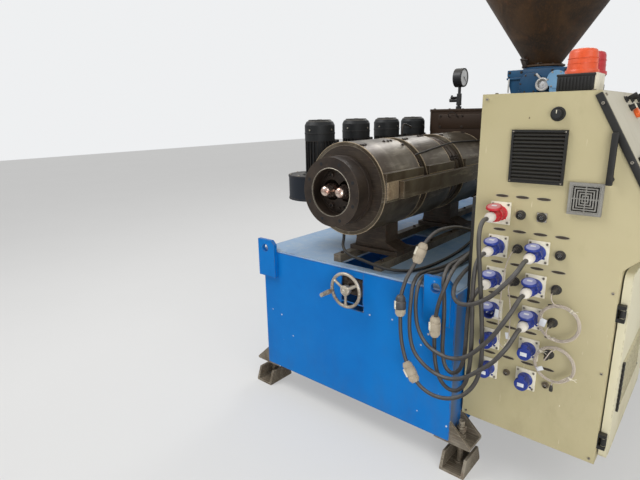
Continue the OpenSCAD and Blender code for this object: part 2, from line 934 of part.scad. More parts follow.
// Black edge strips along the slope and the handle on the front panel
module console_trims() {
    slope = unit(console_outline[3] - console_outline[2]);
    side = [slope[1], -slope[0]];
    strip = 30;
    a = console_outline[2] + slope * 6;
    b = console_outline[3] - slope * 6;
    color("black") on_floor() translate([console_x, 0, 0]) {
        for (y = [console_y - 14, console_y + console_l]) slab_y(y, 14)
            polygon([a, b, b + side * strip, a + side * strip]);
        slab_y(console_y - 30, 10) translate([432, 1262]) round_rect(20, 166, 8);
        for (z = [1280, 1410]) rod_y(442, console_y - 21, z, 10, 21);
    }
}

// Ribbed dome of a warning lamp
module beacon_dome() {
    rotate_extrude() polygon([
        [0, 0],
        [dome_r, 0],
        [dome_r, dome_h * 0.16],
        [dome_r * 0.95, dome_h * 0.18],
        [dome_r * 0.91, dome_h * 0.7],
        [dome_r * 0.82, dome_h * 0.85],
        [dome_r * 0.6, dome_h * 0.97],
        [0, dome_h]
    ]);
}

module beacons() {
    color("orangered") on_floor() translate([console_x + beacon_at[0], 0, console_z1]) {
        block([-beacon_w / 2, beacon_at[1] - beacon_w / 2, 0], [beacon_w, beacon_w, beacon_h]);
        translate([0, beacon_at[2], 0]) cylinder(r = dome_r - 4, h = beacon_h);
        for (y = [beacon_at[1], beacon_at[2]]) translate([0, y, beacon_h]) beacon_dome();
    }
}

// Sockets: flange, body and raised or closed lid
module power_socket(x, z, raised) {
    collar = 14;
    lid_t = 7;
    translate([x, console_y, z]) {
        block([-flange_w / 2, -7, -flange_h / 2], [flange_w, 7, flange_h]);
        rod_y(0, -socket_l, 0, socket_d, socket_l - 6);
        rod_y(0, -socket_l, 0, socket_d + 8, collar);
        block([-8, -socket_l, socket_d / 2], [16, collar, 12]);
        if (raised) translate([0, -socket_l + collar / 2, socket_d / 2 + 8]) rotate([-8, 0, 0])
            translate([0, -socket_d / 2, 0]) cylinder(d = socket_d + 4, h = lid_t);
        else {
            rod_y(0, -socket_l - lid_t, 0, socket_d + 2, lid_t + 1);
            block([-8, -socket_l - lid_t, socket_d / 2 - 3], [16, lid_t + 1, 15]);
        }
    }
}

// Two columns of sockets: the upper ones raised for their plugs, the lower ones shut
module power_sockets() {
    color("royalblue") on_floor() {
        power_socket(col_x[0], row_z[0], true);
        for (row = [1:3], col = [0, 2]) power_socket(col_x[col], row_z[row], true);
        for (row = [4, 5], col = [0, 2]) power_socket(col_x[col], row_z[row], false);
    }
}

// Plugs that sit in the raised sockets, each with its gland nut
module power_plugs() {
    color("white") on_floor() for (at = plugged)
        translate([col_x[at[0]], console_y - socket_l, row_z[at[1]]])
        rotate([90, 0, 0]) rotate_extrude() polygon([
            [0, 0],
            [plug_d / 2, 0],
            [plug_d / 2, plug_l * 0.45],
            [plug_d / 2 - 4, plug_l * 0.56],
            [nut_d / 2, plug_l * 0.58],
            [nut_d / 2, plug_l * 0.94],
            [nut_d / 2 - 4, plug_l],
            [0, plug_l]
        ]);
}

module round_connector(x, z) {
    rod_y(x, console_y - 8, z, connector_d, 8);
    rod_y(x, console_y - 20, z, connector_d - 10, 13);
}

module signal_connectors() {
    color("dimgray") on_floor() {
        for (row = [0:2]) round_connector(col_x[1], row_z[row]);
        round_connector(col_x[2], row_z[0]);
        for (row = [1:5]) round_connector(col_x[3], row_z[row]);
        round_connector(col_x[1], row_z[5]);
        rod_y(console_x + 263, console_y - 12, 1486, connector_d + 12, 12);
        rod_y(console_x + 263, console_y - 24, 1486, connector_d - 2, 13);
    }
}

// Small plugs that the thin leads hang from
module lead_plugs() {
    color("black") on_floor() for (at = lead_at) translate([col_x[at[0]], lead_y, row_z[at[1]]]) {
        rod_y(0, 8, 0, 19, connector_l - 8);
        rod_y(0, 0, 0, 10, 9);
    }
    // The loose end of the lower coil
    color("black") on_floor() translate(coil_2_at - [0, 0, coil_d / 2 + hank_d / 2 + 36]) {
        cylinder(d = 12, h = 28);
        cylinder(d = 8, h = 36.5);
    }
}

// Box on the base where the cables of the heaters end, with its glands
module junction_box() {
    color("gray") on_floor() {
        block([box_x, box_y, base_top], [box_w, box_l, box_h]);
        block([box_x - 4, box_y - 4, base_top + box_h - 12], [box_w + 8, box_l + 8, 18]);
        for (x = gland_x, z = gland_z) rod_y(x, box_y - gland_l, z, nut_d - 8, gland_l);
        rod_x(box_x - gland_l, side_gland_y, gland_z[0], nut_d - 8, gland_l);
    }
}

// Couplings that hang in the cables
module coupling(at, lean) {
    translate(at) rotate(lean) rotate_extrude() polygon([
        [0, -44],
        [coupling_d / 2 - 8, -44],
        [coupling_d / 2 - 3, -36],
        [coupling_d / 2 - 3, -14],
        [coupling_d / 2, -12],
        [coupling_d / 2, 16],
        [coupling_d / 2 - 4, 18],
        [coupling_d / 2 - 4, 34],
        [coupling_d / 2 - 9, 44],
        [0, 44]
    ]);
}

module cable_couplings() {
    color("tan") on_floor() {
        coupling([932, 5, 945], [-24, 10, 0]);
        coupling([897, -80, 735], [-6, -4, 0]);
        coupling([971, -109, 472], [-8, -40, 0]);
        coupling([1047, -65, 680], [2, 0, 0]);
    }
}

// Cables: a tube swept along a smooth curve through the points of its route

// The route's point i, with one more point beyond each end
function near(pts, i) =
    i < 0 ? 2 * pts[0] - pts[1] :
    i < len(pts) ? pts[i] :
    2 * pts[len(pts) - 1] - pts[len(pts) - 2];

// The curve between the points i and i + 1, at the share t of the way
function between(pts, i, t) =
    let (a = near(pts, i - 1), b = pts[i], c = near(pts, i + 1), d = near(pts, i + 2))
    0.5 * (2 * b + (c - a) * t + (2 * a - 5 * b + 4 * c - d) * t * t + (3 * b - a - 3 * c + d) * t * t * t);

function curve(pts, step) = [
    for (i = [0:len(pts) - 2])
        let (n = max(1, round(norm(pts[i + 1] - pts[i]) / step)))
        for (k = [0:n - 1]) between(pts, i, k / n),
    pts[len(pts) - 1]
];

// Directions along the curve; both ends stand square on their glands
function headings(pts, c) = [
    for (i = [0:len(c) - 1])
        i == 0 ? unit(pts[1] - pts[0]) :
        i == len(c) - 1 ? unit(near(pts, len(pts)) - pts[len(pts) - 1]) :
        unit(c[i + 1] - c[i - 1])
];

// A side direction carried along the headings without twist
function carried(t, v, i = 0) =
    i == len(t) ? [] :
    let (u = unit(v - (v * t[i]) * t[i]))
    concat([u], carried(t, u, i + 1));

module swept_tube(pts, d, sides) {
    c = curve(pts, 2.5 * d);
    t = headings(pts, c);
    u = carried(t, [0.2, 0, 1]);
    last = len(c) - 1;
    polyhedron(
        points = [
            for (i = [0:last], k = [0:sides - 1])
                c[i] + d / 2 * (cos(k * 360 / sides) * u[i] + sin(k * 360 / sides) * cross(t[i], u[i]))
        ],
        faces = concat(
            [[for (k = [0:sides - 1]) k]],
            [[for (k = [0:sides - 1]) last * sides + sides - 1 - k]],
            [
                for (i = [0:last - 1], k = [0:sides - 1])
                    let (a = i * sides + k, b = i * sides + (k + 1) % sides)
                    [a, a + sides, b]
            ],
            [
                for (i = [0:last - 1], k = [0:sides - 1])
                    let (a = i * sides + k, b = i * sides + (k + 1) % sides)
                    [b, a + sides, b + sides]
            ]
        )
    );
}

// A heater cable from the plug at column and row number to the gland at to
module heater_cable(from, middle, to) {
    start = [col_x[from[0]], console_y - socket_l - plug_l, row_z[from[1]]];
    end = [gland_x[to[0]], box_y - gland_l, gland_z[to[1]]];
    swept_tube(concat([start, start - [0, 24, 0]], middle, [end + [0, -40, 0], end]), cable_d, 10);
}

module cable_1() {
    route = [
        [1212, -86, 1116], [1216, -106, 1084], [1221, -112, 1035], [1227, -110, 975],
        [1235, -106, 890], [1245, -104, 790], [1253, -103, 690], [1255, -105, 600], [1240, -112, 522],
        [1200, -122, 462], [1140, -126, 426], [1070, -122, 416], [1005, -114, 438], [950, -104, 500],
        [915, -95, 590], [900, -84, 690], [895, -76, 765], [902, -50, 840], [920, -18, 900],
        [932, 5, 945], [940, 40, 990], [950, 120, 1018], [958, 260, 1008], [962, 420, 965],
        [964, 560, 915]
    ];
    color("gray") on_floor() heater_cable([0, 0], route, [0, 1]);
}

module cable_2() {
    route = [
        [1210, -84, 990], [1208, -101, 962], [1208, -107, 920], [1208, -108, 860], [1211, -106, 780],
        [1214, -104, 690], [1213, -104, 580], [1198, -102, 500], [1162, -96, 454], [1118, -85, 446],
        [1080, -76, 474], [1057, -68, 530], [1047, -64, 610], [1047, -66, 690], [1058, -70, 770],
        [1076, -64, 840], [1086, -38, 893], [1085, 18, 920], [1070, 120, 922], [1035, 350, 915],
        [1008, 560, 865]
    ];
    color("gray") on_floor() heater_cable([0, 1], route, [1, 0]);
}

module cable_3() {
    route = [
        [1206, -80, 860], [1196, -92, 830], [1189, -92, 785], [1186, -88, 730], [1185, -86, 660],
        [1180, -84, 590], [1162, -80, 534], [1130, -74, 510], [1098, -65, 526], [1080, -56, 580],
        [1075, -48, 650], [1074, -46, 730], [1070, -44, 800], [1064, -46, 862], [1060, -16, 904],
        [1054, 40, 914], [1048, 140, 906], [1040, 350, 892], [1044, 560, 892]
    ];
    color("gray") on_floor() heater_cable([0, 2], route, [2, 1]);
}

module cable_4() {
    route = [
        [1356, -86, 990], [1344, -108, 965], [1316, -124, 925], [1280, -130, 882], [1236, -130, 848],
        [1190, -120, 826], [1150, -102, 820], [1120, -72, 832], [1105, -30, 856], [1098, 30, 872],
        [1083, 130, 876], [1060, 300, 868], [1048, 500, 853]
    ];
    color("gray") on_floor() heater_cable([2, 1], route, [2, 0]);
}

module cable_5() {
    route = [
        [1356, -86, 862], [1346, -110, 832], [1326, -124, 790], [1298, -130, 738], [1256, -130, 680],
        [1205, -122, 625], [1145, -110, 592], [1080, -98, 588], [1020, -84, 606], [975, -68, 652],
        [956, -58, 715], [950, -48, 775], [948, -22, 828], [950, 40, 848], [952, 130, 836],
        [960, 300, 825], [968, 450, 834]
    ];
    color("gray") on_floor() heater_cable([2, 2], route, [0, 0]);
}

module cable_6() {
    route = [
        [1356, -86, 734], [1346, -110, 706], [1328, -124, 674], [1302, -130, 636], [1260, -132, 592],
        [1210, -127, 545], [1155, -118, 512], [1095, -110, 502], [1030, -102, 518], [975, -92, 556],
        [950, -86, 615], [940, -78, 690], [935, -62, 765], [926, -32, 820], [920, 25, 846],
        [920, 110, 840], [926, 250, 825], [946, 420, 842], [988, 590, 885]
    ];
    color("gray") on_floor() heater_cable([2, 3], route, [1, 1]);
}

// A point beside the barrel's axis, at an angle from straight up
function round_barrel(y, a, r) = [barrel_x + r * sin(a), y, barrel_z + r * cos(a)];

// The front heater's cable, over the rails and along the base to the side of the box, and
// the sensor lead that lies along the shrouds to the vent box
module barrel_cables() {
    start = [zone_cable_x, zone_cable_y, zone_cable_z];
    end = [box_x - gland_l, side_gland_y, gland_z[0]];
    route = [
        [508, 38, 905], [535, 22, 880], [585, 14, 866], [645, 12, 858], [710, 18, 845], [770, 40, 832],
        [820, 85, 825], [855, 150, 824], [868, 250, 822], [872, 400, 822], [864, 550, 824],
        [858, 650, 832], [858, 715, 842], [871, 747, 848]
    ];
    out = heater_r - 6 + 20 * cos(45);
    on = shroud_r + sensor_d / 2 + 0.8;
    sensor = [
        [sensor_y + 20 * sin(45), 49, out], [sensor_y + 20 * sin(45) + 6, 49, out + 6],
        [352, 49, 209.5], [372, 48.6, on], [430, 47, on], [500, 45, on], [608, 42, on], [703, 39.6, on],
        [797, 38.5, on], [880, 38.8, on], [977, 39.8, on], [1060, 41, on], [1120, 41.7, on],
        [vent_y, 41.7, on]
    ];
    color("black") on_floor() {
        swept_tube(concat([start, start - [0, 0, 30]], route, [end - [16, 0, 0], end]), cable_d - 2, 10);
        swept_tube([for (p = sensor) round_barrel(p[0], p[1], p[2])], sensor_d, 8);
    }
}

// Thin leads: two coils hung from their plugs, and one lead between two plugs

// A lead from a plug to the coil that hangs from it; end is counted from the middle of the coil
module hung_lead(at, middle, coil, end) {
    start = [col_x[at[0]], lead_y, row_z[at[1]]];
    swept_tube(concat([start, start + [0, -10, 0]], middle, [coil + end]), lead_d, 8);
}

module coil_ring(at) {
    translate(at) rotate([90, 0, 0])
        rotate_extrude() translate([coil_d / 2, 0]) circle(d = hank_d, $fn = 24);
}

module lead_1() {
    down = [[1433, 34, 868], [1440, 26, 854], [1449, 34, 840], [1456, 50, 831]];
    back = [[1434, 30, 740], [1442, 28, 722], [1452, 42, 705]];
    color("beige") on_floor() {
        hung_lead([3, 2], down, coil_1_at, [0, 0, coil_d / 2]);
        hung_lead([3, 3], back, coil_1_at, [0, 0, -coil_d / 2]);
    }
}

module lead_2() {
    up = [[1433, 32, 624], [1438, 26, 636], [1446, 32, 649], [1454, 48, 660]];
    color("beige") on_floor() hung_lead([3, 4], up, coil_2_at, [0, 0, coil_d / 2]);
}

module coil_1() {
    color("beige") on_floor() coil_ring(coil_1_at);
}

module coil_2() {
    color("beige") on_floor() coil_ring(coil_2_at);
}

module lead_3() {
    from = [col_x[1], lead_y, row_z[1]];
    to = [col_x[1], lead_y, row_z[2]];
    middle = [
        [1280, 26, 985], [1270, 25, 945], [1265, 25, 890],
        [1262, 26, 820], [1260, 30, 740], [1262, 34, 670],
        [1272, 38, 630], [1286, 38, 625], [1298, 36, 655],
        [1302, 30, 720], [1300, 25, 790], [1294, 22, 840],
        [1288, 24, 865]
    ];
    color("beige") on_floor()
        swept_tube(concat([from, from + [0, -8, 0]], middle, [to + [0, -8, 0], to]), lead_d, 8);
}

base_front_plate();
base_side_plates();
base_top_plate();
lifting_lugs();
leg_brackets();
levelling_screws();
floor_shoes();
slide_rails();
barrel_pedestals();
handwheel_bearing();
handwheel();
barrel();
front_disc();
barrel_heaters();
shroud_uppers();
shroud_lowers();
side_bar();
screw_left();
screw_right();
blower_motors();
blower_casings();
vent_box();
pressure_gauge();
feed_block();
feeder();
hopper_cone();
hopper_drum();
gearbox();
drive_motor();
drive_stand();
console_front_panel();
console_walls();
operator_panel();
console_nose();
console_side_wall();
console_door();
door_hinges();
console_arms();
louvre_grille();
fan_filter();
console_trims();
beacons();
power_sockets();
signal_connectors();
power_plugs();
junction_box();
cable_couplings();
lead_plugs();
cable_1();
cable_2();
cable_3();
cable_4();
cable_5();
cable_6();
barrel_cables();
lead_1();
lead_2();
lead_3();
coil_1();
coil_2();
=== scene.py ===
"""Finish and small pieces of a twin-screw plastic extruder with its control console."""

import json
import math
from itertools import product

import bmesh
import bpy
from mathutils import Matrix, Vector


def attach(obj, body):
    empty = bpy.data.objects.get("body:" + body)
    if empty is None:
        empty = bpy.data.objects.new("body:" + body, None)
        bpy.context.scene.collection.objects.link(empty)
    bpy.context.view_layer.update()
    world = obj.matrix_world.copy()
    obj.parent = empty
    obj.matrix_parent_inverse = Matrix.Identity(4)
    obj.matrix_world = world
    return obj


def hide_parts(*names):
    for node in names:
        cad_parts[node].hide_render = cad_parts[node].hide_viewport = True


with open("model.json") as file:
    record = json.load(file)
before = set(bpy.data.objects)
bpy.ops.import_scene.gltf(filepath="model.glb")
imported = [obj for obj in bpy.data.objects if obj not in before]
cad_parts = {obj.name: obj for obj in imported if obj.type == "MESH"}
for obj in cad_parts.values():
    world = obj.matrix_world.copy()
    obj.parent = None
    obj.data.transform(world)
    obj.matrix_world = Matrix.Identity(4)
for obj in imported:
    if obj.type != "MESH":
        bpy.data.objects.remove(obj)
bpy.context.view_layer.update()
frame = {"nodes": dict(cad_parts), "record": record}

# The CAD counts X from the left face of the base, Y from its front face and Z from the floor,
# in mm, and so do the sizes below; MIDDLE is the frame's origin in that count, in metres
MIDDLE = Vector((0.821, 1.894, 0.0))
IN_FRAME = Matrix.Translation(-MIDDLE) @ Matrix.Scale(0.001, 4)

BASE_W, BASE_L, BASE_TOP = 1100, 3900, 803
BASE_MIDDLE_Y = BASE_L / 2
BARREL_X, BARREL_Z = 557, 1175
RAILS_X = 590
PANEL_Y, CONSOLE_BACK, CONSOLE_TOP = 100, 1700, 1558
CONSOLE_LEFT, CONSOLE_SIDE, DOOR_FACE = 1112, 1623, 1653


def spot(x, y, z):
    """A point of the CAD's own count, in mm, as metres in the frame."""
    return Vector((x, y, z)) / 1000 - MIDDLE


# Camera: solved from the photo's edges of the base and the console

PHOTO_WIDTH_PX, FOCAL_PX = 640, 478.64
SENSOR_MM = 36.0
EYE = (1.024, -3.570, 1.5)
EYE_TURN, EYE_DOWN, EYE_ROLL = 40.787, 14.753, -1.042


def place_camera():
    """Looks from the photo's place: turned to the left, down and slightly rolled."""
    turn, down, roll = (math.radians(angle) for angle in (EYE_TURN, EYE_DOWN, EYE_ROLL))
    ahead = Vector(
        (-math.sin(turn) * math.cos(down), math.cos(turn) * math.cos(down), -math.sin(down))
    )
    right = Vector((math.cos(turn), math.sin(turn), 0.0))
    up = right.cross(ahead)
    side = math.cos(roll) * right + math.sin(roll) * up
    top = -math.sin(roll) * right + math.cos(roll) * up
    data = bpy.data.cameras.new("photo_camera")
    data.sensor_width = SENSOR_MM
    data.lens = SENSOR_MM * FOCAL_PX / PHOTO_WIDTH_PX
    data.clip_start, data.clip_end = 0.05, 60.0
    camera = bpy.data.objects.new("photo_camera", data)
    bpy.context.scene.collection.objects.link(camera)
    turned = Matrix((side, top, -ahead)).transposed().to_4x4()
    camera.matrix_world = Matrix.Translation(EYE) @ turned
    bpy.context.scene.camera = camera


place_camera()
bpy.context.scene.view_settings.view_transform = "Standard"


# Building shapes

SHARP_FROM = math.radians(40)


def finished(name, shape, looks, body="machine", stands_for=()):
    """Turns a bmesh in mm into a piece that rides on a body, with one look for each tint."""
    mesh = bpy.data.meshes.new(name)
    bmesh.ops.recalc_face_normals(shape, faces=shape.faces)
    bmesh.ops.transform(shape, matrix=IN_FRAME, verts=shape.verts)
    shape.to_mesh(mesh)
    shape.free()
    piece = bpy.data.objects.new(name, mesh)
    bpy.context.scene.collection.objects.link(piece)
    for look in looks if isinstance(looks, list) else [looks]:
        mesh.materials.append(look)
    mesh.shade_smooth()
    mesh.set_sharp_from_angle(angle=SHARP_FROM)
    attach(piece, body)
    if stands_for:
        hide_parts(*stands_for)
    return piece


AXES = {
    "x": Matrix.Rotation(math.pi / 2, 4, "Y"),
    "y": Matrix.Rotation(-math.pi / 2, 4, "X"),
    "z": Matrix.Identity(4),
    "-x": Matrix.Rotation(-math.pi / 2, 4, "Y"),
    "-y": Matrix.Rotation(math.pi / 2, 4, "X"),
    "-z": Matrix.Rotation(math.pi, 4, "X"),
}


def tinted(made, tint):
    """Gives the faces of what was just made a look, by its place in the piece's list."""
    for face in {face for vert in made for face in vert.link_faces}:
        face.material_index = tint
    return made


def block(shape, low, size, round_by=0, tint=0, turn=None):
    """A box from its low corner; round_by bevels its edges; turn is a matrix about its middle."""
    size = Vector(size)
    middle = Matrix.Translation(Vector(low) + size / 2)
    if turn:
        middle = middle @ turn
    grown = middle @ Matrix.Diagonal((*size, 1))
    made = tinted(bmesh.ops.create_cube(shape, size=1, matrix=grown)["verts"], tint)
    return rounded(shape, made, round_by) if round_by else made


def rounded(shape, made, width, segments=2, least=50):
    """Bevels the edges between those vertices that turn by more than least degrees."""
    chosen = set(made)
    edges = [
        edge
        for edge in {edge for vert in made for edge in vert.link_edges}
        if set(edge.verts) <= chosen
        and len(edge.link_faces) == 2
        and edge.calc_face_angle(0) > math.radians(least)
    ]
    done = bmesh.ops.bevel(
        shape,
        geom=edges,
        offset=width,
        affect="EDGES",
        segments=segments,
        profile=0.5,
        material=-1,
        clamp_overlap=True,
    )
    return still_there(list(made) + done["verts"])


def rod(shape, base, axis, radius, length, sides=24, top=None, tint=0, turn=None, round_by=0):
    """A round bar from its base along an axis; top is another radius at its far end."""
    place = Matrix.Translation(base) @ (turn or AXES[axis])
    made = bmesh.ops.create_cone(
        shape,
        cap_ends=True,
        segments=sides,
        radius1=radius,
        radius2=radius if top is None else top,
        depth=length,
        matrix=place @ Matrix.Translation((0, 0, length / 2)),
    )["verts"]
    tinted(made, tint)
    return rounded(shape, made, round_by, least=45) if round_by else made


def turned(shape, profile, base, axis="z", sides=32, tint=0, turn=None):
    """Spins a profile of radius and height pairs round an axis; turn is used in its place."""
    others = set(shape.verts)
    line = [shape.verts.new((radius, 0, height)) for radius, height in profile]
    edges = [shape.edges.new(pair) for pair in zip(line, line[1:])]
    bmesh.ops.spin(
        shape,
        geom=line + edges,
        cent=(0, 0, 0),
        axis=(0, 0, 1),
        angle=2 * math.pi,
        steps=sides,
        use_merge=True,
    )
    made = [vert for vert in shape.verts if vert not in others]
    bmesh.ops.remove_doubles(shape, verts=made, dist=0.001)
    made = still_there(made)
    bmesh.ops.transform(
        shape, matrix=Matrix.Translation(base) @ (turn or AXES[axis]), verts=made
    )
    return tinted(made, tint)


def still_there(made):
    """What is left of some vertices once doubles or bevelled corners are gone."""
    return [vert for vert in dict.fromkeys(made) if vert.is_valid]


def hoop(inner, outer, low, high):
    """The profile of a flat ring, closed."""
    return [(inner, low), (outer, low), (outer, high), (inner, high), (inner, low)]


def plate(shape, outline, y, depth, round_by):
    """A slab from its outline of X and Z pairs, depth along Y."""
    corners = [shape.verts.new((x, y, z)) for x, z in outline]
    face = shape.faces.new(corners)
    grown = bmesh.ops.extrude_face_region(shape, geom=[face])["geom"]
    far = [item for item in grown if isinstance(item, bmesh.types.BMVert)]
    bmesh.ops.translate(shape, vec=(0, depth, 0), verts=far)
    return rounded(shape, corners + far, round_by, least=30)


def ring_of(shape, count, centre, axis, make):
    """Repeats what make() adds round an axis; make works at the origin, along z."""
    for i in range(count):
        made = make()
        place = Matrix.Translation(centre) @ AXES[axis]
        turn = Matrix.Rotation(2 * math.pi * i / count, 4, "Z")
        bmesh.ops.transform(shape, matrix=place @ turn, verts=made)


def bolt(shape, at, axis, across, height=None, tint=0):
    """A hexagon head on a washer."""
    washer = rod(shape, at, axis, across * 0.72, across * 0.1, 20, tint=tint)
    made = rod(shape, at, axis, across * 0.57, height or across * 0.45, 6, tint=tint)
    return washer + rounded(shape, made, across * 0.05, 1, 45)


def cap_screw(shape, at, axis, across, tint=0, socket=1):
    """A round screw head with a six-sided socket, whose floor takes the socket look; a black one
    there is painted shade.
    """
    r = across / 2
    well = [(r * 0.55, r), (r * 0.55, r * 0.5), (0, r * 0.5)]
    profile = [(0, 0), (r, 0), (r, r * 0.9), (r * 0.9, r)] + well
    head = turned(shape, profile, at, axis, 20, tint=tint)
    # The socket's floor takes the socket look; a black one is painted shade in the socket
    return head + rod(shape, at, axis, r * 0.56, r * 0.55, 6, tint=socket)


def spun(shape, made, centre, axis, degrees):
    """Turns what was made at the origin about an axis, then sets it at a centre."""
    turn = Matrix.Rotation(math.radians(degrees), 4, axis)
    bmesh.ops.transform(shape, matrix=Matrix.Translation(centre) @ turn, verts=made)


def curve_point(points, i, t):
    """A point of the smooth curve through the route, at the share t between i and i + 1."""
    before = points[i - 1] if i else 2 * points[0] - points[1]
    here, then = points[i], points[i + 1]
    after = points[i + 2] if i + 2 < len(points) else 2 * points[-1] - points[-2]
    return 0.5 * (
        2 * here
        + (then - before) * t
        + (2 * before - 5 * here + 4 * then - after) * t * t
        + (3 * here - before - 3 * then + after) * t**3
    )


def smooth_route(points, step=14):
    """The smooth curve through a route's points, cut about every step mm."""
    points, route = [Vector(point) for point in points], []
    for i in range(len(points) - 1):
        count = max(1, round((points[i + 1] - points[i]).length / step))
        route += [curve_point(points, i, k / count) for k in range(count)]
    return route + [points[-1].copy()]


def route_length(route):
    return sum((b - a).length for a, b in zip(route, route[1:]))


def pipe(name, route, diameter, look):
    """A round cable or pipe along a route of points in mm."""
    line = bpy.data.curves.new(name, "CURVE")
    line.dimensions = "3D"
    line.bevel_depth = diameter / 2000
    line.bevel_resolution = 4
    line.use_fill_caps = True
    spline = line.splines.new("POLY")
    spline.points.add(len(route) - 1)
    for point, place in zip(spline.points, route):
        point.co = (*spot(*place), 1.0)
    spline.use_smooth = True
    line.materials.append(look)
    piece = bpy.data.objects.new(name, line)
    bpy.context.scene.collection.objects.link(piece)
    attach(piece, "machine")
    return piece


# Places on the front panel, and the routes of the cords as the CAD has them, in mm

COLUMN = [1211.0, 1284.5, 1358.0, 1431.5]
ROW = [1130, 1002, 874, 746, 618, 490]
PLUG_END = -36
STRAIGHT_AT_PLUG, STRAIGHT_AT_GLAND = 24, 40
GLAND_X = [965, 1005, 1045]
GLAND_Z = [850, 895]
GLAND_Y = 684
LEAD_Y = 46
CABLE_D, HEATER_CABLE_D, SENSOR_LEAD_D, LEAD_D = 16, 14, 8, 4

CABLES = {
    # name: column and row of the plug, column and row of the gland, route between them
    "cable_1": ((0, 0), (0, 1), [
        (1212, -86, 1116), (1216, -106, 1084), (1221, -112, 1035), (1227, -110, 975),
        (1235, -106, 890), (1245, -104, 790), (1253, -103, 690), (1255, -105, 600),
        (1240, -112, 522), (1200, -122, 462), (1140, -126, 426), (1070, -122, 416),
        (1005, -114, 438), (950, -104, 500), (915, -95, 590), (900, -84, 690), (895, -76, 765),
        (902, -50, 840), (920, -18, 900), (932, 5, 945), (940, 40, 990), (950, 120, 1018),
        (958, 260, 1008), (962, 420, 965), (964, 560, 915),
    ]),
    "cable_2": ((0, 1), (1, 0), [
        (1210, -84, 990), (1208, -101, 962), (1208, -107, 920), (1208, -108, 860),
        (1211, -106, 780), (1214, -104, 690), (1213, -104, 580), (1198, -102, 500),
        (1162, -96, 454), (1118, -85, 446), (1080, -76, 474), (1057, -68, 530), (1047, -64, 610),
        (1047, -66, 690), (1058, -70, 770), (1076, -64, 840), (1086, -38, 893), (1085, 18, 920),
        (1070, 120, 922), (1035, 350, 915), (1008, 560, 865),
    ]),
    "cable_3": ((0, 2), (2, 1), [
        (1206, -80, 860), (1196, -92, 830), (1189, -92, 785), (1186, -88, 730), (1185, -86, 660),
        (1180, -84, 590), (1162, -80, 534), (1130, -74, 510), (1098, -65, 526), (1080, -56, 580),
        (1075, -48, 650), (1074, -46, 730), (1070, -44, 800), (1064, -46, 862), (1060, -16, 904),
        (1054, 40, 914), (1048, 140, 906), (1040, 350, 892), (1044, 560, 892),
    ]),
    "cable_4": ((2, 1), (2, 0), [
        (1356, -86, 990), (1344, -108, 965), (1316, -124, 925), (1280, -130, 882),
        (1236, -130, 848), (1190, -120, 826), (1150, -102, 820), (1120, -72, 832),
        (1105, -30, 856), (1098, 30, 872), (1083, 130, 876), (1060, 300, 868), (1048, 500, 853),
    ]),
    "cable_5": ((2, 2), (0, 0), [
        (1356, -86, 862), (1346, -110, 832), (1326, -124, 790), (1298, -130, 738),
        (1256, -130, 680), (1205, -122, 625), (1145, -110, 592), (1080, -98, 588),
        (1020, -84, 606), (975, -68, 652), (956, -58, 715), (950, -48, 775), (948, -22, 828),
        (950, 40, 848), (952, 130, 836), (960, 300, 825), (968, 450, 834),
    ]),
    "cable_6": ((2, 3), (1, 1), [
        (1356, -86, 734), (1346, -110, 706), (1328, -124, 674), (1302, -130, 636),
        (1260, -132, 592), (1210, -127, 545), (1155, -118, 512), (1095, -110, 502),
        (1030, -102, 518), (975, -92, 556), (950, -86, 615), (940, -78, 690), (935, -62, 765),
        (926, -32, 820), (920, 25, 846), (920, 110, 840), (926, 250, 825), (946, 420, 842),
        (988, 590, 885),
    ]),
}  # fmt: skip

FRONT_HEATER = [
    (505, 50, 962), (505, 50, 932), (508, 38, 905), (535, 22, 880), (585, 14, 866), (645, 12, 858),
    (710, 18, 845), (770, 40, 832), (820, 85, 825), (855, 150, 824), (868, 250, 822),
    (872, 400, 822), (864, 550, 824), (858, 650, 832), (858, 715, 842), (871, 747, 848),
    (903, 760, 850), (919, 760, 850),
]  # fmt: skip
SENSOR = [
    # distance from the front, degrees from straight up, distance from the barrel's axis
    (332.1, 49, 198.8), (338.1, 49, 204.8), (352, 49, 209.5), (372, 48.6, 211.8), (430, 47, 211.8),
    (500, 45, 211.8), (608, 42, 211.8), (703, 39.6, 211.8), (797, 38.5, 211.8),
    (880, 38.8, 211.8), (977, 39.8, 211.8), (1060, 41, 211.8), (1120, 41.7, 211.8),
    (1155, 41.7, 211.8),
]  # fmt: skip
LOOPED = [
    (1284.5, 46, 1002), (1284.5, 38, 1002), (1280, 26, 985), (1270, 25, 945), (1265, 25, 890),
    (1262, 26, 820), (1260, 30, 740), (1262, 34, 670), (1272, 38, 630), (1286, 38, 625),
    (1298, 36, 655), (1302, 30, 720), (1300, 25, 790), (1294, 22, 840), (1288, 24, 865),
    (1284.5, 38, 874), (1284.5, 46, 874),
]  # fmt: skip
UPPER_COIL, LOWER_COIL = (1460, 64, 762), (1460, 64, 600)
COIL_R = 66
STEPS_A_TURN, TURNS_A_WANDER = 30, 5.5
INTO_UPPER_COIL = [
    (1431.5, 46, 874), (1431.5, 38, 874), (1433, 31, 869), (1437, 27, 858), (1442, 32, 846),
    (1449, 46, 836),
]  # fmt: skip
OUT_OF_UPPER_COIL = [
    (1440, 46, 704), (1432, 32, 720), (1430, 28, 733), (1431, 31, 743), (1431.5, 38, 746),
    (1431.5, 46, 746),
]  # fmt: skip
INTO_LOWER_COIL = [
    (1431.5, 46, 618), (1431.5, 38, 618), (1433, 31, 624), (1438, 27, 634), (1444, 32, 647),
    (1450, 46, 658),
]  # fmt: skip
OUT_OF_LOWER_COIL = [(1476, 56, 537), (1467, 55, 534), (1461.5, 56, 527), (1460, 59, 519)]


def round_barrel(y, angle, radius):
    """A point beside the barrel's axis, at an angle in degrees from straight up."""
    turn = math.radians(angle)
    return Vector((BARREL_X + radius * math.sin(turn), y, BARREL_Z + radius * math.cos(turn)))


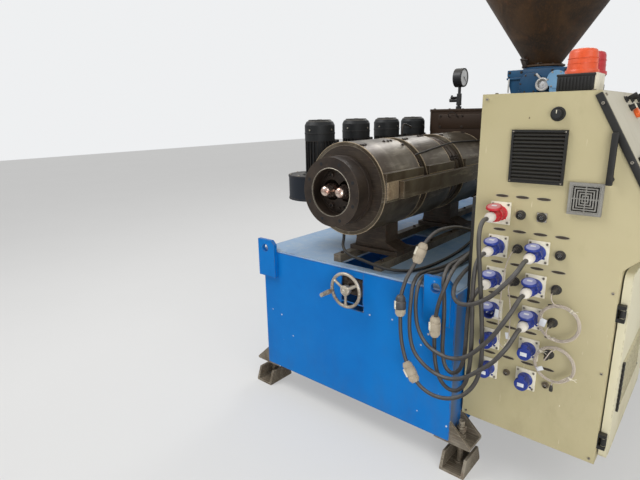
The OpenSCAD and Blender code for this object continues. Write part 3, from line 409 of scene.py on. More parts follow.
def cable_points(plug, gland, middle):
    """The whole route of a heater cable, straight out of its plug and into its gland."""
    x, z = COLUMN[plug[0]], ROW[plug[1]]
    end = (GLAND_X[gland[0]], GLAND_Y, GLAND_Z[gland[1]])
    start = [(x, PLUG_END, z), (x, PLUG_END - STRAIGHT_AT_PLUG, z)]
    return start + middle + [(end[0], end[1] - STRAIGHT_AT_GLAND, end[2]), end]


def coil_turns(centre, turns, start=0.14, spread=4.1):
    """Turns of a lead beside and on each other in a ring that hangs against the panel."""
    route, steps = [], int(turns * STEPS_A_TURN)
    for i in range(steps + 1):
        turn = i / steps * turns
        angle, wander = start + turn * 2 * math.pi, turn * 2 * math.pi / TURNS_A_WANDER
        radius, depth = COIL_R + spread * math.sin(wander), spread * math.cos(wander)
        offset = Vector((radius * math.sin(angle), depth, radius * math.cos(angle)))
        route.append(Vector(centre) + offset)
    return route


# Finishes


class Value:
    """A shader value; arithmetic on it adds Math nodes."""

    def __init__(self, tree, socket):
        self.tree, self.socket = tree, socket

    def math(self, operation, *terms):
        """A Math node; terms are its values or links, in order."""
        node = self.tree.nodes.new("ShaderNodeMath")
        node.operation = operation
        for slot, term in zip(node.inputs, terms):
            if isinstance(term, Value):
                self.tree.links.new(term.socket, slot)
            else:
                slot.default_value = term
        return Value(self.tree, node.outputs[0])

    def __add__(self, other):
        return self.math("ADD", self, other)

    __radd__ = __add__

    def __sub__(self, other):
        return self.math("SUBTRACT", self, other)

    def __rsub__(self, other):
        return self.math("SUBTRACT", other, self)

    def __mul__(self, other):
        return self.math("MULTIPLY", self, other)

    __rmul__ = __mul__

    def larger(self, other):
        return self.math("MAXIMUM", self, other)

    def smaller(self, other):
        return self.math("MINIMUM", self, other)

    def over(self, low, high):
        """0 below low, 1 above high, eased between."""
        node = self.tree.nodes.new("ShaderNodeMapRange")
        node.interpolation_type = "SMOOTHSTEP"
        node.inputs["From Min"].default_value = low
        node.inputs["From Max"].default_value = high
        self.tree.links.new(self.socket, node.inputs["Value"])
        return Value(self.tree, node.outputs["Result"])


class Finish:
    """A material as it is being made."""

    def __init__(self, name, rough=0.5, metal=0.0, coat=0.0, gloss=0.5):
        self.material = bpy.data.materials.new(name)
        self.material.use_nodes = True
        self.tree = self.material.node_tree
        self.shader = self.tree.nodes["Principled BSDF"]
        self.shader.inputs["Roughness"].default_value = rough
        self.shader.inputs["Metallic"].default_value = metal
        self.shader.inputs["Coat Weight"].default_value = coat
        self.shader.inputs["Coat Roughness"].default_value = 0.15
        self.shader.inputs["Specular IOR Level"].default_value = gloss
        self.place = self.node("ShaderNodeTexCoord", out="Object")

    def node(self, kind, settings=None, inputs=None, out=0):
        """Any node, with its settings made before its sockets are filled."""
        made = self.tree.nodes.new(kind)
        for name, value in (settings or {}).items():
            setattr(made, name, value)
        for name, value in (inputs or {}).items():
            if isinstance(value, Value):
                self.tree.links.new(value.socket, made.inputs[name])
            else:
                made.inputs[name].default_value = value
        return Value(self.tree, made.outputs[out])

    def stretched(self, scale=(1, 1, 1), turn=(0, 0, 0)):
        """The piece's own coordinates, scaled and turned for a pattern."""
        return self.node(
            "ShaderNodeMapping", inputs={"Vector": self.place, "Scale": scale, "Rotation": turn}
        )

    def noise(self, scale, detail=4.0, rough=0.55, place=None, warp=0.0):
        return self.node(
            "ShaderNodeTexNoise",
            inputs={
                "Vector": place or self.place,
                "Scale": scale,
                "Detail": detail,
                "Roughness": rough,
                "Distortion": warp,
            },
        )

    def flecks(self, scale, place=None):
        """Distance to the nearest of many scattered points."""
        return self.node(
            "ShaderNodeTexVoronoi", inputs={"Vector": place or self.place, "Scale": scale}
        )

    def axis(self, name):
        return self.node("ShaderNodeSeparateXYZ", inputs={"Vector": self.place}, out=name)

    def facing_up(self):
        """1 on level tops, 0 on walls, -1 underneath."""
        normal = self.node("ShaderNodeNewGeometry", out="Normal")
        return self.node("ShaderNodeSeparateXYZ", inputs={"Vector": normal}, out="Z")

    def edges(self, radius=0.004):
        """1 along the outer edges of the piece, 0 on its flats."""
        rounded = self.node("ShaderNodeBevel", {"samples": 4}, {"Radius": radius})
        flat = self.node("ShaderNodeNewGeometry", out="Normal")
        likeness = self.node(
            "ShaderNodeVectorMath",
            {"operation": "DOT_PRODUCT"},
            {0: rounded, 1: flat},
            out="Value",
        )
        return 1 - likeness.over(0.86, 0.985)

    def mix(self, share, low, high):
        """A colour between two colours; each of the three is a value or a constant."""
        node = self.tree.nodes.new("ShaderNodeMix")
        node.data_type = "RGBA"
        for slot, value in zip((0, 6, 7), (share, low, high)):
            if isinstance(value, Value):
                self.tree.links.new(value.socket, node.inputs[slot])
            elif slot:
                node.inputs[slot].default_value = (*value, 1.0)
            else:
                node.inputs[slot].default_value = value
        return Value(self.tree, node.outputs[2])

    def feed(self, name, value):
        self.tree.links.new(value.socket, self.shader.inputs[name])

    def bump(self, height, depth, strength):
        lump = self.node(
            "ShaderNodeBump",
            inputs={"Height": height, "Distance": depth, "Strength": strength},
            out="Normal",
        )
        self.feed("Normal", lump)


def shade(red, green, blue):
    """A colour as it is seen, 0 to 255, for a shader's socket."""
    return tuple(((part / 255 + 0.055) / 1.055) ** 2.4 for part in (red, green, blue))


def lighter(colour, times, most):
    return tuple(min(part * times, most) for part in colour)


# Browns of dirt, rust and bare metal that several finishes share
DUST, RUBBED_METAL, RUST = shade(150, 142, 128), shade(92, 74, 58), shade(96, 58, 34)


def painted(
    name, paint, faded, rough=0.42, wear=0.5, chips=0.0, dust=0.3, peel=260, soot=0.5, gloss=0.3
):
    """Enamel on sheet steel: clouded, chipped, worn along its edges and dusty on top."""
    f = Finish(name, gloss=gloss)
    grime = f.noise(5.5, 6, 0.68, f.stretched((1, 1, 0.35)))
    fine = f.noise(38, 5, 0.7)
    top = f.facing_up().over(0.5, 0.9)
    low = 1 - f.axis("Z").over(0.16, 0.55)
    tone = f.mix(f.noise(2.3, 5, 0.6).over(0.3, 0.75), paint, faded)
    dirt = grime.over(0.55, 0.85) * 0.3 + low * grime.over(0.42, 0.7) * 0.55
    tone = f.mix(dirt * soot, tone, shade(82, 74, 64))
    tone = f.mix(top * fine.over(0.3, 0.62) * dust, tone, DUST)
    if chips:
        ragged = f.flecks(15) + f.noise(90, 3) * 0.17
        rare = f.noise(3.1, 2, 0.5).over(0.43, 0.56)
        chip = (1 - ragged.over(0.125, 0.148)) * rare * chips
        tone = f.mix(chip, tone, shade(196, 200, 204))
    worn = f.edges(0.005) * fine.over(0.38, 0.6) * wear
    tone = f.mix(worn, tone, RUBBED_METAL)
    f.feed("Base Color", tone)
    f.feed("Roughness", grime * 0.22 + top * dust * 0.3 + rough)
    f.bump(f.noise(peel, 2, 0.5) * 0.5 + grime * 0.5, 0.0004, 0.5)
    return f.material


def steel(name, light, dark, rough=0.4, metal=0.6, rust=0.25, grain=(3, 40, 40), smoke=0.0):
    """Worn steel: rolled grain, smoke stains and rust in patches, bright along its edges."""
    f = Finish(name)
    streaks = f.noise(4, 6, 0.62, f.stretched(grain))
    blotch = f.noise(4.2, 6, 0.66, warp=0.6)
    spots = f.noise(19, 5, 0.72)
    tone = f.mix(blotch.over(0.34, 0.66), light, dark)
    tone = f.mix(streaks.over(0.48, 0.68) * 0.45, tone, lighter(light, 1.7, 0.8))
    if smoke:
        cloud = f.noise(2.1, 4, 0.6, warp=1.0)
        tone = f.mix(cloud.over(0.46, 0.64) * smoke, tone, shade(38, 30, 25))
    red = spots.over(0.54, 0.7) * rust
    tone = f.mix(red, tone, RUST)
    tone = f.mix(f.edges(0.003) * 0.5, tone, lighter(light, 2.2, 0.75))
    f.feed("Base Color", tone)
    f.feed("Metallic", (1 - red * 0.9) * metal)
    f.feed("Roughness", blotch.over(0.3, 0.7) * 0.2 + red * 0.3 + rough)
    f.bump(spots * 0.6 + streaks * 0.4, 0.0006, 0.5)
    return f.material


def moulded(name, colour, rough=0.4, dust=0.25, coat=0.0, grain=420, dirt=(150, 142, 128)):
    """Moulded plastic or rubber with a fine skin and some dust in it."""
    f = Finish(name, rough, coat=coat, gloss=0.35)
    cloud = f.noise(14, 5, 0.65)
    tone = f.mix(cloud.over(0.35, 0.75), colour, tuple(c * 0.74 for c in colour))
    top = f.facing_up().over(0.2, 0.95)
    tone = f.mix((top * 0.7 + cloud.over(0.55, 0.8) * 0.4) * dust, tone, shade(*dirt))
    f.feed("Base Color", tone)
    f.feed("Roughness", cloud * 0.2 + rough)
    f.bump(f.noise(grain, 2, 0.5), 0.0003, 0.4)
    return f.material


def base_top_paint():
    """Blue of the base's top, trodden pale, with brown grease near the slide rails."""
    f = Finish("base_top_paint")
    wide, fine = f.noise(2.6, 5, 0.6, warp=0.3), f.noise(21, 6, 0.62)
    tone = f.mix(wide.over(0.3, 0.66), shade(104, 150, 192), shade(54, 124, 186))
    front = 1 - (f.axis("Y") + 1.9).over(0.1, 1.5)
    tone = f.mix(front * 0.6, tone, shade(168, 184, 196))
    tone = f.mix(fine.over(0.46, 0.7) * 0.32, tone, shade(180, 188, 190))
    tone = f.mix(f.noise(9, 5, 0.6).over(0.52, 0.72) * 0.3, tone, shade(44, 114, 178))
    from_rails = (f.axis("X") + (MIDDLE.x - RAILS_X / 1000)).math("ABSOLUTE")
    near_rails = 1 - from_rails.over(0.14, 0.34)
    tone = f.mix(near_rails * wide.over(0.38, 0.56) * 0.62, tone, shade(112, 96, 76))
    tone = f.mix(f.edges(0.006) * fine.over(0.36, 0.55) * 0.8, tone, shade(100, 78, 58))
    f.feed("Base Color", tone)
    f.feed("Roughness", wide * 0.25 + 0.38)
    f.bump(fine, 0.0005, 0.5)
    return f.material


def console_enamel(name, paint, faded, marks=1.0):
    """Hammer-textured console enamel with scuffs, pale scratches and small dark chips."""
    f = Finish(name)
    wide = f.noise(1.7, 4, 0.55)
    tone = f.mix(wide.over(0.3, 0.75), paint, faded)
    hand = f.noise(7, 6, 0.7, f.stretched((1, 1, 0.5)))
    tone = f.mix(hand.over(0.56, 0.82) * 0.28, tone, shade(128, 116, 84))
    low = 1 - f.axis("Z").over(0.2, 0.75)
    tone = f.mix(low * hand.over(0.46, 0.7) * 0.16, tone, shade(120, 106, 76))
    scratch = f.noise(9, 3, 0.5, f.stretched((14, 14, 1.2), (0.2, 0.1, 0.3)))
    tone = f.mix(scratch.over(0.72, 0.76) * 0.55 * marks, tone, shade(222, 214, 184))
    ragged = f.noise(120, 3) * 0.12
    chip = 1 - (f.flecks(8) + ragged).over(0.086, 0.1)
    tone = f.mix(chip * f.noise(2.6, 2).over(0.46, 0.54) * 0.85 * marks, tone, shade(78, 66, 48))
    marked = f.stretched((1, 1, 0.6), (0.37, 0.21, 0.53))
    bare = 1 - (f.flecks(6, marked) + ragged).over(0.084, 0.098)
    tone = f.mix(bare * 0.8 * marks, tone, shade(226, 220, 196))
    worn = f.edges(0.004) * f.noise(42, 4, 0.7).over(0.42, 0.6)
    tone = f.mix(worn * 0.6, tone, shade(126, 112, 82))
    f.feed("Base Color", tone)
    f.feed("Roughness", hand * 0.2 + 0.42)
    f.bump(f.noise(330, 2, 0.5), 0.0003, 0.5)
    return f.material


def shroud_sheet():
    """Heat-tinted sheet of the barrel shrouds, with bright rubbed streaks along its length."""
    f = Finish("shroud_sheet")
    wide = f.noise(3.1, 6, 0.64, warp=0.9)
    rub = f.noise(5, 6, 0.7, f.stretched((2.5, 0.6, 5)))
    spots = f.noise(26, 6, 0.74)
    tone = f.mix(wide.over(0.33, 0.66), shade(108, 100, 86), shade(76, 66, 52))
    tone = f.mix(rub.over(0.52, 0.66) * 0.5, tone, shade(156, 148, 132))
    tone = f.mix(f.noise(2.2, 4, 0.6, warp=1.2).over(0.5, 0.66) * 0.6, tone, shade(58, 45, 35))
    tone = f.mix(spots.over(0.58, 0.7) * 0.4, tone, shade(74, 50, 34))
    tone = f.mix(f.edges(0.004) * 0.5, tone, shade(190, 178, 160))
    f.feed("Base Color", tone)
    f.feed("Metallic", (1 - spots.over(0.56, 0.7) * 0.6) * 0.68)
    f.feed("Roughness", wide * 0.26 + 0.26)
    f.bump(spots * 0.5 + rub * 0.5, 0.0007, 0.5)
    return f.material


def burnt_disc():
    """Turned front disc burnt near black, with rings of the lathe and a brown bloom."""
    f = Finish("burnt_disc")
    x, z = f.axis("X") + (MIDDLE.x - BARREL_X / 1000), f.axis("Z") - BARREL_Z / 1000
    rings = ((x * x + z * z).math("SQRT") * 1400).math("SINE")
    wide, spots = f.noise(7, 6, 0.66), f.noise(40, 5, 0.72)
    tone = f.mix(wide.over(0.35, 0.68), shade(56, 46, 38), shade(36, 29, 25))
    tone = f.mix(spots.over(0.58, 0.72) * 0.5, tone, shade(84, 64, 46))
    tone = f.mix(f.edges(0.003) * 0.5, tone, shade(118, 104, 88))
    f.feed("Base Color", tone)
    f.feed("Metallic", wide * 0.5 + 0.15)
    f.feed("Roughness", spots * 0.25 + 0.34)
    f.bump(rings * 0.25 + spots, 0.0005, 0.5)
    return f.material


def polished_screw():
    """Screw tips polished by the melt, with pinkish burnt plastic left in the hollows."""
    f = Finish("polished_screw")
    smear = f.noise(24, 5, 0.65)
    tone = f.mix(smear.over(0.4, 0.66), shade(214, 196, 184), shade(150, 112, 98))
    tone = f.mix(smear.over(0.6, 0.72) * 0.7, tone, shade(70, 46, 38))
    f.feed("Base Color", tone)
    f.feed("Metallic", 0.95 - smear.over(0.55, 0.72) * 0.5)
    f.feed("Roughness", smear * 0.25 + 0.1)
    return f.material


def cable_sheath():
    """Dusty dark grey rubber with painted highlight, mixed with dust, in patches on its upper side.
    """
    f = Finish("cable_sheath")
    cloud = f.noise(22, 5, 0.65)
    tone = f.mix(cloud.over(0.36, 0.7), shade(54, 50, 47), shade(36, 34, 32))
    # Lighter grey in patches on upward faces: a painted highlight of the light from above, mixed
    # with dust
    top = f.facing_up().over(-0.2, 0.9)
    tone = f.mix(top * cloud.over(0.3, 0.6) * 0.4, tone, shade(128, 126, 122))
    f.feed("Base Color", tone)
    f.feed("Roughness", cloud * 0.2 + 0.42)
    f.bump(f.noise(300, 2), 0.0003, 0.4)
    return f.material


def braided_lead():
    """Pale braid of the thin leads, as crossed diagonal strands."""
    f = Finish("braided_lead")
    strands = [
        f.node(
            "ShaderNodeTexWave",
            {"bands_direction": "DIAGONAL"},
            {"Vector": f.stretched(turn=turn), "Scale": 320.0, "Distortion": 0.6},
            out="Fac",
        )
        for turn in ((0, 0, 0.6), (0.9, 0, -0.7))
    ]
    braid = strands[0].larger(strands[1])
    tone = f.mix(braid.over(0.2, 0.8), shade(118, 108, 98), shade(196, 184, 170))
    tone = f.mix(f.noise(30, 4, 0.6).over(0.5, 0.75) * 0.5, tone, shade(112, 100, 86))
    f.feed("Base Color", tone)
    f.feed("Roughness", 0.7 - braid * 0.15)
    f.bump(braid, 0.0004, 0.6)
    return f.material


def lamp_dome(name, colour):
    """Translucent plastic of a warning lamp, dusty, unlit, with a faint painted glow."""
    f = Finish(name, 0.4, coat=0.12)
    cloud = f.noise(18, 4, 0.6)
    pale = tuple(min(part * 1.25 + 0.05, 1) for part in colour)
    tone = f.mix(cloud.over(0.4, 0.8) * 0.5, colour, pale)
    tone = f.mix(f.facing_up().over(0.6, 1.0) * 0.25, tone, shade(196, 160, 130))
    f.feed("Base Color", tone)
    # Its own colour as emission: a painted glow, as of light through the plastic, though no lamp is
    # lit in it
    f.feed("Emission Color", tone)
    f.shader.inputs["Emission Strength"].default_value = 0.03
    f.feed("Roughness", cloud * 0.2 + 0.36)
    return f.material


def corner_worn(name):
    """Base blue of the side plates, rubbed down to grey primer at the front corner."""
    f = Finish(name, gloss=0.14)
    grime = f.noise(4.5, 6, 0.66, f.stretched((1, 1, 0.4)))
    fine = f.noise(30, 5, 0.7)
    tone = f.mix(f.noise(2.3, 5, 0.6).over(0.3, 0.75), shade(0, 112, 190), shade(0, 98, 172))
    front = 1 - (f.axis("Y") + MIDDLE.y + fine * 0.03).over(0.03, 0.13)
    tone = f.mix(front * (grime * 0.5 + 0.55).smaller(1.0), tone, shade(92, 92, 90))
    tone = f.mix(grime.over(0.52, 0.78) * 0.35, tone, shade(66, 66, 64))
    low = 1 - f.axis("Z").over(0.15, 0.4)
    tone = f.mix(low * fine.over(0.4, 0.62) * 0.45, tone, shade(104, 98, 86))
    f.feed("Base Color", tone)
    f.feed("Roughness", grime * 0.25 + 0.4)
    f.bump(fine, 0.0005, 0.5)
    return f.material


# Looks by the record's material slots
LOOKS = {
    "base_paint": painted(
        "base_blue", shade(0, 115, 194), shade(0, 104, 182), rough=0.36, wear=1.0, chips=1.0,
        soot=0.26, gloss=0.14,
    ),
    "top_paint": base_top_paint(),
    "worn_steel": steel(
        "worn_steel", shade(140, 132, 118), shade(94, 84, 70), rough=0.48, metal=0.35, rust=0.4
    ),
    "dark_steel": steel(
        "dark_steel", shade(72, 62, 52), shade(44, 36, 30), rough=0.42, metal=0.45, rust=0.35,
        smoke=0.4,
    ),
    "wheel_steel": steel(
        "wheel_steel", shade(178, 170, 156), shade(134, 122, 106), metal=0.55, rust=0.75
    ),
    "barrel_steel": steel(
        "barrel_steel", shade(96, 86, 76), shade(58, 48, 40), rough=0.36, rust=0.3, smoke=0.5
    ),
    "disc_steel": burnt_disc(),
    "shroud_steel": shroud_sheet(),
    "screw_steel": polished_screw(),
    "motor_black": painted(
        "motor_black", shade(19, 21, 22), shade(14, 16, 18), wear=0.25, dust=0.18, peel=180,
        soot=0.1,
    ),
    "casing_navy": painted(
        "casing_navy", shade(21, 28, 38), shade(15, 21, 30), wear=0.4, peel=160, soot=0.2
    ),
    "vent_brown": painted(
        "vent_brown", shade(46, 29, 14), shade(34, 22, 10), rough=0.45, dust=0.2, peel=200, soot=0.2
    ),
    "gauge_black": moulded("gauge_black", shade(34, 34, 36), rough=0.32, dust=0.2),
    "feeder_blue": painted(
        "feeder_teal", shade(26, 84, 122), shade(16, 62, 96), rough=0.34, wear=0.4, chips=0.3,
        dust=0.25,
    ),
    "hopper_brown": steel(
        "hopper_brown", shade(66, 42, 12), shade(38, 24, 6), rough=0.5, metal=0.22, rust=0.3,
        grain=(26, 26, 2), smoke=0.3,
    ),
    "drive_grey": painted(
        "drive_grey", shade(112, 118, 122), shade(90, 96, 100), rough=0.45, wear=0.4, chips=0.2,
        dust=0.35,
    ),
    "console_paint": console_enamel("console_enamel", shade(180, 170, 134), shade(170, 160, 122)),
    "panel_grey": console_enamel(
        "operator_enamel", shade(190, 184, 164), shade(176, 168, 146), marks=0.4
    ),
    "door_paint": console_enamel("door_enamel", shade(212, 206, 178), shade(200, 192, 162)),
    "trim_black": moulded("trim_black", shade(26, 25, 23), rough=0.46, dust=0.14),
    "filter_grey": moulded("filter_grey", shade(132, 130, 124), rough=0.6, dust=0.5, grain=300),
    "beacon_orange": lamp_dome("beacon_orange", shade(206, 72, 14)),
    "socket_blue": moulded("socket_blue", shade(26, 50, 134), rough=0.3, dust=0.1, coat=0.15),
    "connector_metal": moulded("connector_dark", shade(48, 46, 44)),
    "cable_rubber": cable_sheath(),
    "connector_beige": moulded(
        "connector_beige", shade(178, 166, 146), rough=0.5, dust=0.3, dirt=(96, 84, 68)
    ),
    "lead_white": braided_lead(),
    "plug_white": moulded("plug_white", shade(226, 220, 210), rough=0.36, dust=0.15, coat=0.1),
}  # fmt: skip

# Looks of the small pieces, which ride in those slots
RED_SOCKET = moulded("socket_red", shade(188, 26, 40), rough=0.3, dust=0.12, coat=0.2)
RED_DOME = lamp_dome("beacon_red", shade(168, 16, 24))
# Paler copies of the socket blue and red for the raised lids' upturned faces: painted light on them
LID_BLUE_LIT = moulded("lid_blue_lit", shade(148, 154, 202), rough=0.26, dust=0.15, coat=0.4)
LID_RED_LIT = moulded("lid_red_lit", shade(206, 120, 130), rough=0.26, dust=0.15, coat=0.4)
BARE_LABEL = moulded("bare_label", shade(216, 218, 222), dust=0.1)
SLOT_DARK = moulded("slot_dark", shade(62, 54, 44), rough=0.5, dust=0.15)
SCREW_DULL = steel(
    "small_screws", shade(150, 144, 132), shade(96, 88, 76), rough=0.38, metal=0.7, rust=0.3
)
NUT_DULL = steel(
    "dull_nuts", shade(118, 108, 92), shade(70, 62, 52), rough=0.42, metal=0.5, rust=0.4
)
BOLT_DARK = steel("burnt_bolts", shade(52, 44, 38), shade(30, 25, 22), metal=0.5, rust=0.3)
RUBBER = moulded("black_rubber", shade(30, 30, 31), rough=0.5)
CREAM = moulded("cream_plastic", shade(226, 220, 200), dust=0.2)
DIAL = moulded("dial_white", shade(206, 208, 210), rough=0.3, dust=0.06, coat=0.5)
# Black painted as the shade in screw sockets and bolt holes
HOLE_SHADE = moulded("hole_shade_black", shade(24, 24, 26), rough=0.3, dust=0.0)
ORANGE_KNOB = moulded("knob_orange", shade(230, 104, 48), rough=0.32, dust=0.08)
CHUTE_BLUE = painted(
    "chute_blue", shade(128, 172, 206), shade(104, 150, 190), rough=0.36, wear=0.4, chips=0.2,
    dust=0.2,
)
HUB_GREY = steel(
    "hub_grey", shade(206, 204, 200), shade(164, 162, 158), rough=0.38, metal=0.4, rust=0.12
)


# Lamps and floor

LAMPS = {
    # name: place, what it looks at, width, power
    "over_left": ((-2.2, -3.4, 4.4), (0, -0.6, 0.8), 2.6, 118),
    "over_right": ((3.6, -2.6, 3.8), (0.3, -0.6, 0.8), 2.4, 42),
    "low_right": ((2.6, -4.6, 0.9), (0.5, -1.8, 0.4), 2.2, 70),
    "behind": ((-1.0, 4.0, 4.5), (0, 0.4, 1.0), 3.0, 150),
}


def lamp(name, place, aim, width, power):
    """A round soft lamp that looks at a point."""
    data = bpy.data.lights.new(name, "AREA")
    data.shape, data.size, data.energy = "DISK", width, power
    made = bpy.data.objects.new(name, data)
    made.location = place
    made.rotation_euler = (Vector(aim) - Vector(place)).to_track_quat("-Z", "Y").to_euler()
    bpy.context.scene.collection.objects.link(made)


def studio_air():
    """Soft even light on the object, and a pale backdrop for the camera, metal and glass."""
    world = bpy.data.worlds.new("studio")
    bpy.context.scene.world = world
    world.use_nodes = True
    nodes, links = world.node_tree.nodes, world.node_tree.links
    seen = nodes["Background"]
    seen.inputs["Color"].default_value = (0.86, 0.87, 0.88, 1)
    seen.inputs["Strength"].default_value = 1.0
    soft = nodes.new("ShaderNodeBackground")
    soft.inputs["Color"].default_value = (1.0, 0.99, 0.97, 1)
    soft.inputs["Strength"].default_value = 0.46
    path, choose = nodes.new("ShaderNodeLightPath"), nodes.new("ShaderNodeMixShader")
    ray = path.outputs["Is Camera Ray"]
    for kind in ("Is Glossy Ray", "Is Transmission Ray"):
        either = nodes.new("ShaderNodeMath")
        either.operation = "MAXIMUM"
        links.new(ray, either.inputs[0])
        links.new(path.outputs[kind], either.inputs[1])
        ray = either.outputs[0]
    links.new(ray, choose.inputs["Fac"])
    links.new(soft.outputs[0], choose.inputs[1])
    links.new(seen.outputs[0], choose.inputs[2])
    links.new(choose.outputs[0], nodes["World Output"].inputs["Surface"])


def pale_floor():
    """A level floor that the camera sees a little brighter than its shadows make it."""
    shape = bmesh.new()
    bmesh.ops.create_grid(shape, x_segments=1, y_segments=1, size=20)
    mesh = bpy.data.meshes.new("floor")
    shape.to_mesh(mesh)
    shape.free()
    floor = bpy.data.objects.new("floor", mesh)
    bpy.context.scene.collection.objects.link(floor)
    pale = Finish("pale_floor", 0.8)
    cloud = pale.noise(0.8, 5, 0.6)
    pale.feed("Base Color", pale.mix(cloud, (0.7, 0.7, 0.69), (0.64, 0.64, 0.63)))
    path = pale.tree.nodes.new("ShaderNodeLightPath")
    glow = pale.tree.nodes.new("ShaderNodeEmission")
    glow.inputs["Color"].default_value = (0.8, 0.8, 0.8, 1)
    share = Value(pale.tree, path.outputs["Is Camera Ray"]) * 0.45
    blend = pale.node("ShaderNodeMixShader", inputs={"Fac": share}).socket
    pale.tree.links.new(pale.shader.outputs[0], blend.node.inputs[1])
    pale.tree.links.new(glow.outputs[0], blend.node.inputs[2])
    pale.tree.links.new(blend, pale.tree.nodes["Material Output"].inputs["Surface"])
    mesh.materials.append(pale.material)


studio_air()
for name, (place, aim, width, power) in LAMPS.items():
    lamp(name, place, aim, width, power)
pale_floor()


# The CAD's own parts take the finishes of their slots; two of them have one of their own

for row in frame["record"]["subparts"]:
    node = frame["nodes"][row["node"]]
    for filled in node.material_slots:
        filled.material = LOOKS[row["material_slot"]]
    if not node.material_slots:
        node.data.materials.append(LOOKS[row["material_slot"]])

own_looks = {
    "base_side_plates": corner_worn("base_side_blue"),
    "slide_rails": steel(
        "rail_steel", shade(112, 104, 90), shade(66, 58, 48), metal=0.4, rust=0.35
    ),
}
for node, look in own_looks.items():
    frame["nodes"][node].material_slots[0].material = look


# Cords and their plugs


def free_cord(
    name, route, diameter, slot, nodes, look=None, far_end="object", stiffness="medium",
    lay="hanging", **more,
):  # fmt: skip
    """A cord along its route, in the place of the CAD's own."""
    piece = pipe(name, route, diameter, look or LOOKS[slot])
    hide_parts(*nodes)
    route_length(route) / 1000
    diameter / 1000


def heater_plug(name, column, row):
    """Blue or red plug with a white ribbed gland nut that tapers to the cable."""
    shape = bmesh.new()
    at = (COLUMN[column], PANEL_Y - 56, ROW[row])
    body = [(0, 0), (21.5, 0), (21.5, 26), (20, 31), (17, 34), (0, 34)]
    nut = [(0, 33), (16.4, 33), (17.2, 35), (17.2, 58), (16, 61), (11, 77), (9, 80), (0, 80)]
    turned(shape, body, at, "-y", 36, 1)
    turned(shape, nut, at, "-y", 32)
    ring_of(shape, 16, at, "-y", lambda: block(shape, (16.4, -1.2, 36), (2, 2.4, 21), 0.6))
    ring_of(shape, 2, at, "-y", lambda: block(shape, (20.4, -4, 2), (3, 8, 24), 1, 1))
    looks = [LOOKS["plug_white"], RED_SOCKET if row == 0 else LOOKS["socket_blue"]]
    return finished(name, shape, looks, stands_for=["power_plugs"])


def heater_cables():
    """From their plugs, in loops before the base, to the box behind the console."""
    for name, (plug, gland, middle) in CABLES.items():
        held = heater_plug(name.replace("cable", "plug"), *plug)
        route = smooth_route(cable_points(plug, gland, middle))
        free_cord(name + "_sheath", route, CABLE_D, "cable_rubber", [name], with_pieces=[held])


def barrel_cables():
    """The front heater's cable and the sensor's lead along the shrouds."""
    nodes, look = ["barrel_cables"], RUBBER
    heater = smooth_route(FRONT_HEATER)
    free_cord("front_heater_cable", heater, HEATER_CABLE_D, "cable_rubber", nodes, look)
    sensor = smooth_route([round_barrel(*place) for place in SENSOR])
    free_cord("sensor_lead", sensor, SENSOR_LEAD_D, "cable_rubber", nodes, look, lay="loose")


def lead_plug(column, row):
    """Black plug of a thin lead with a ribbed nut and a tapered boot."""
    shape = bmesh.new()
    at = (COLUMN[column], LEAD_Y + 34, ROW[row])
    nut = [(0, 0), (9.5, 0), (9.5, 9), (8, 10), (8, 22), (6, 24), (0, 24)]
    turned(shape, nut, at, "-y", 24)
    ring_of(shape, 12, at, "-y", lambda: block(shape, (8.6, -0.9, 0.5), (1.5, 1.8, 8), 0.4))
    turned(shape, [(0, 23), (5.5, 23), (4.6, 32), (2.8, 34), (0, 34)], at, "-y", 20)
    name = f"lead_plug_{column}_{row}"
    look = LOOKS["connector_metal"]
    return finished(name, shape, look, stands_for=["lead_plugs"])


def loose_connector(name, at):
    """Small black connector at the free end of a thin lead."""
    shape = bmesh.new()
    body = [(0, 0), (5, 0), (6, 1.5), (6, 17), (5, 18.5), (4.4, 24), (3, 27), (0, 27)]
    turned(shape, body, at)
    above = Vector(at) + Vector((0, 0, 2))
    ring_of(shape, 10, above, "z", lambda: block(shape, (5.4, -0.7, 0), (1.2, 1.4, 11), 0.3))
    look = LOOKS["connector_metal"]
    return finished(name, shape, look, stands_for=["lead_plugs"])


def tag(name, corner, size, turn, hole):
    """Blank white paper tag with an eyelet where it hangs on its lead."""
    shape = bmesh.new()
    block(shape, corner, size, 0.3, turn=Matrix.Rotation(turn, 4, "Y"))
    rod(shape, Vector(hole) - Vector((0, 0.6, 0)), "y", 2.6, 1.2, 14, tint=1)
    return finished(name, shape, [BARE_LABEL, LOOKS["lead_white"]])


def coil_tie(name, centre, angle):
    """Pale tie wound round the hank, with two loose ends."""
    shape = bmesh.new()
    place = Vector(centre) + COIL_R * Vector((math.sin(angle), 0, math.cos(angle)))
    along = Matrix.Rotation(angle, 4, "Y")
    band = [(6.2, -2.4), (7.0, -2.0), (7.0, 2.0), (6.2, 2.4), (6.2, -2.4)]
    turned(shape, band, place, turn=along @ AXES["x"])
    for lean in (-0.5, 0.45):
        low = place + Vector((-0.6, -8.4, -1))
        block(shape, low, (26, 1.0, 1.6), 0.3, turn=Matrix.Rotation(lean, 4, "Y"))
    return finished(name, shape, CREAM)


def thin_lead(name, route, nodes, pieces, far_end="object", lay="hanging"):
    more = {"far_end": far_end, "stiffness": "limp", "lay": lay, "with_pieces": pieces}
    free_cord(name, route, LEAD_D, "lead_white", nodes, **more)


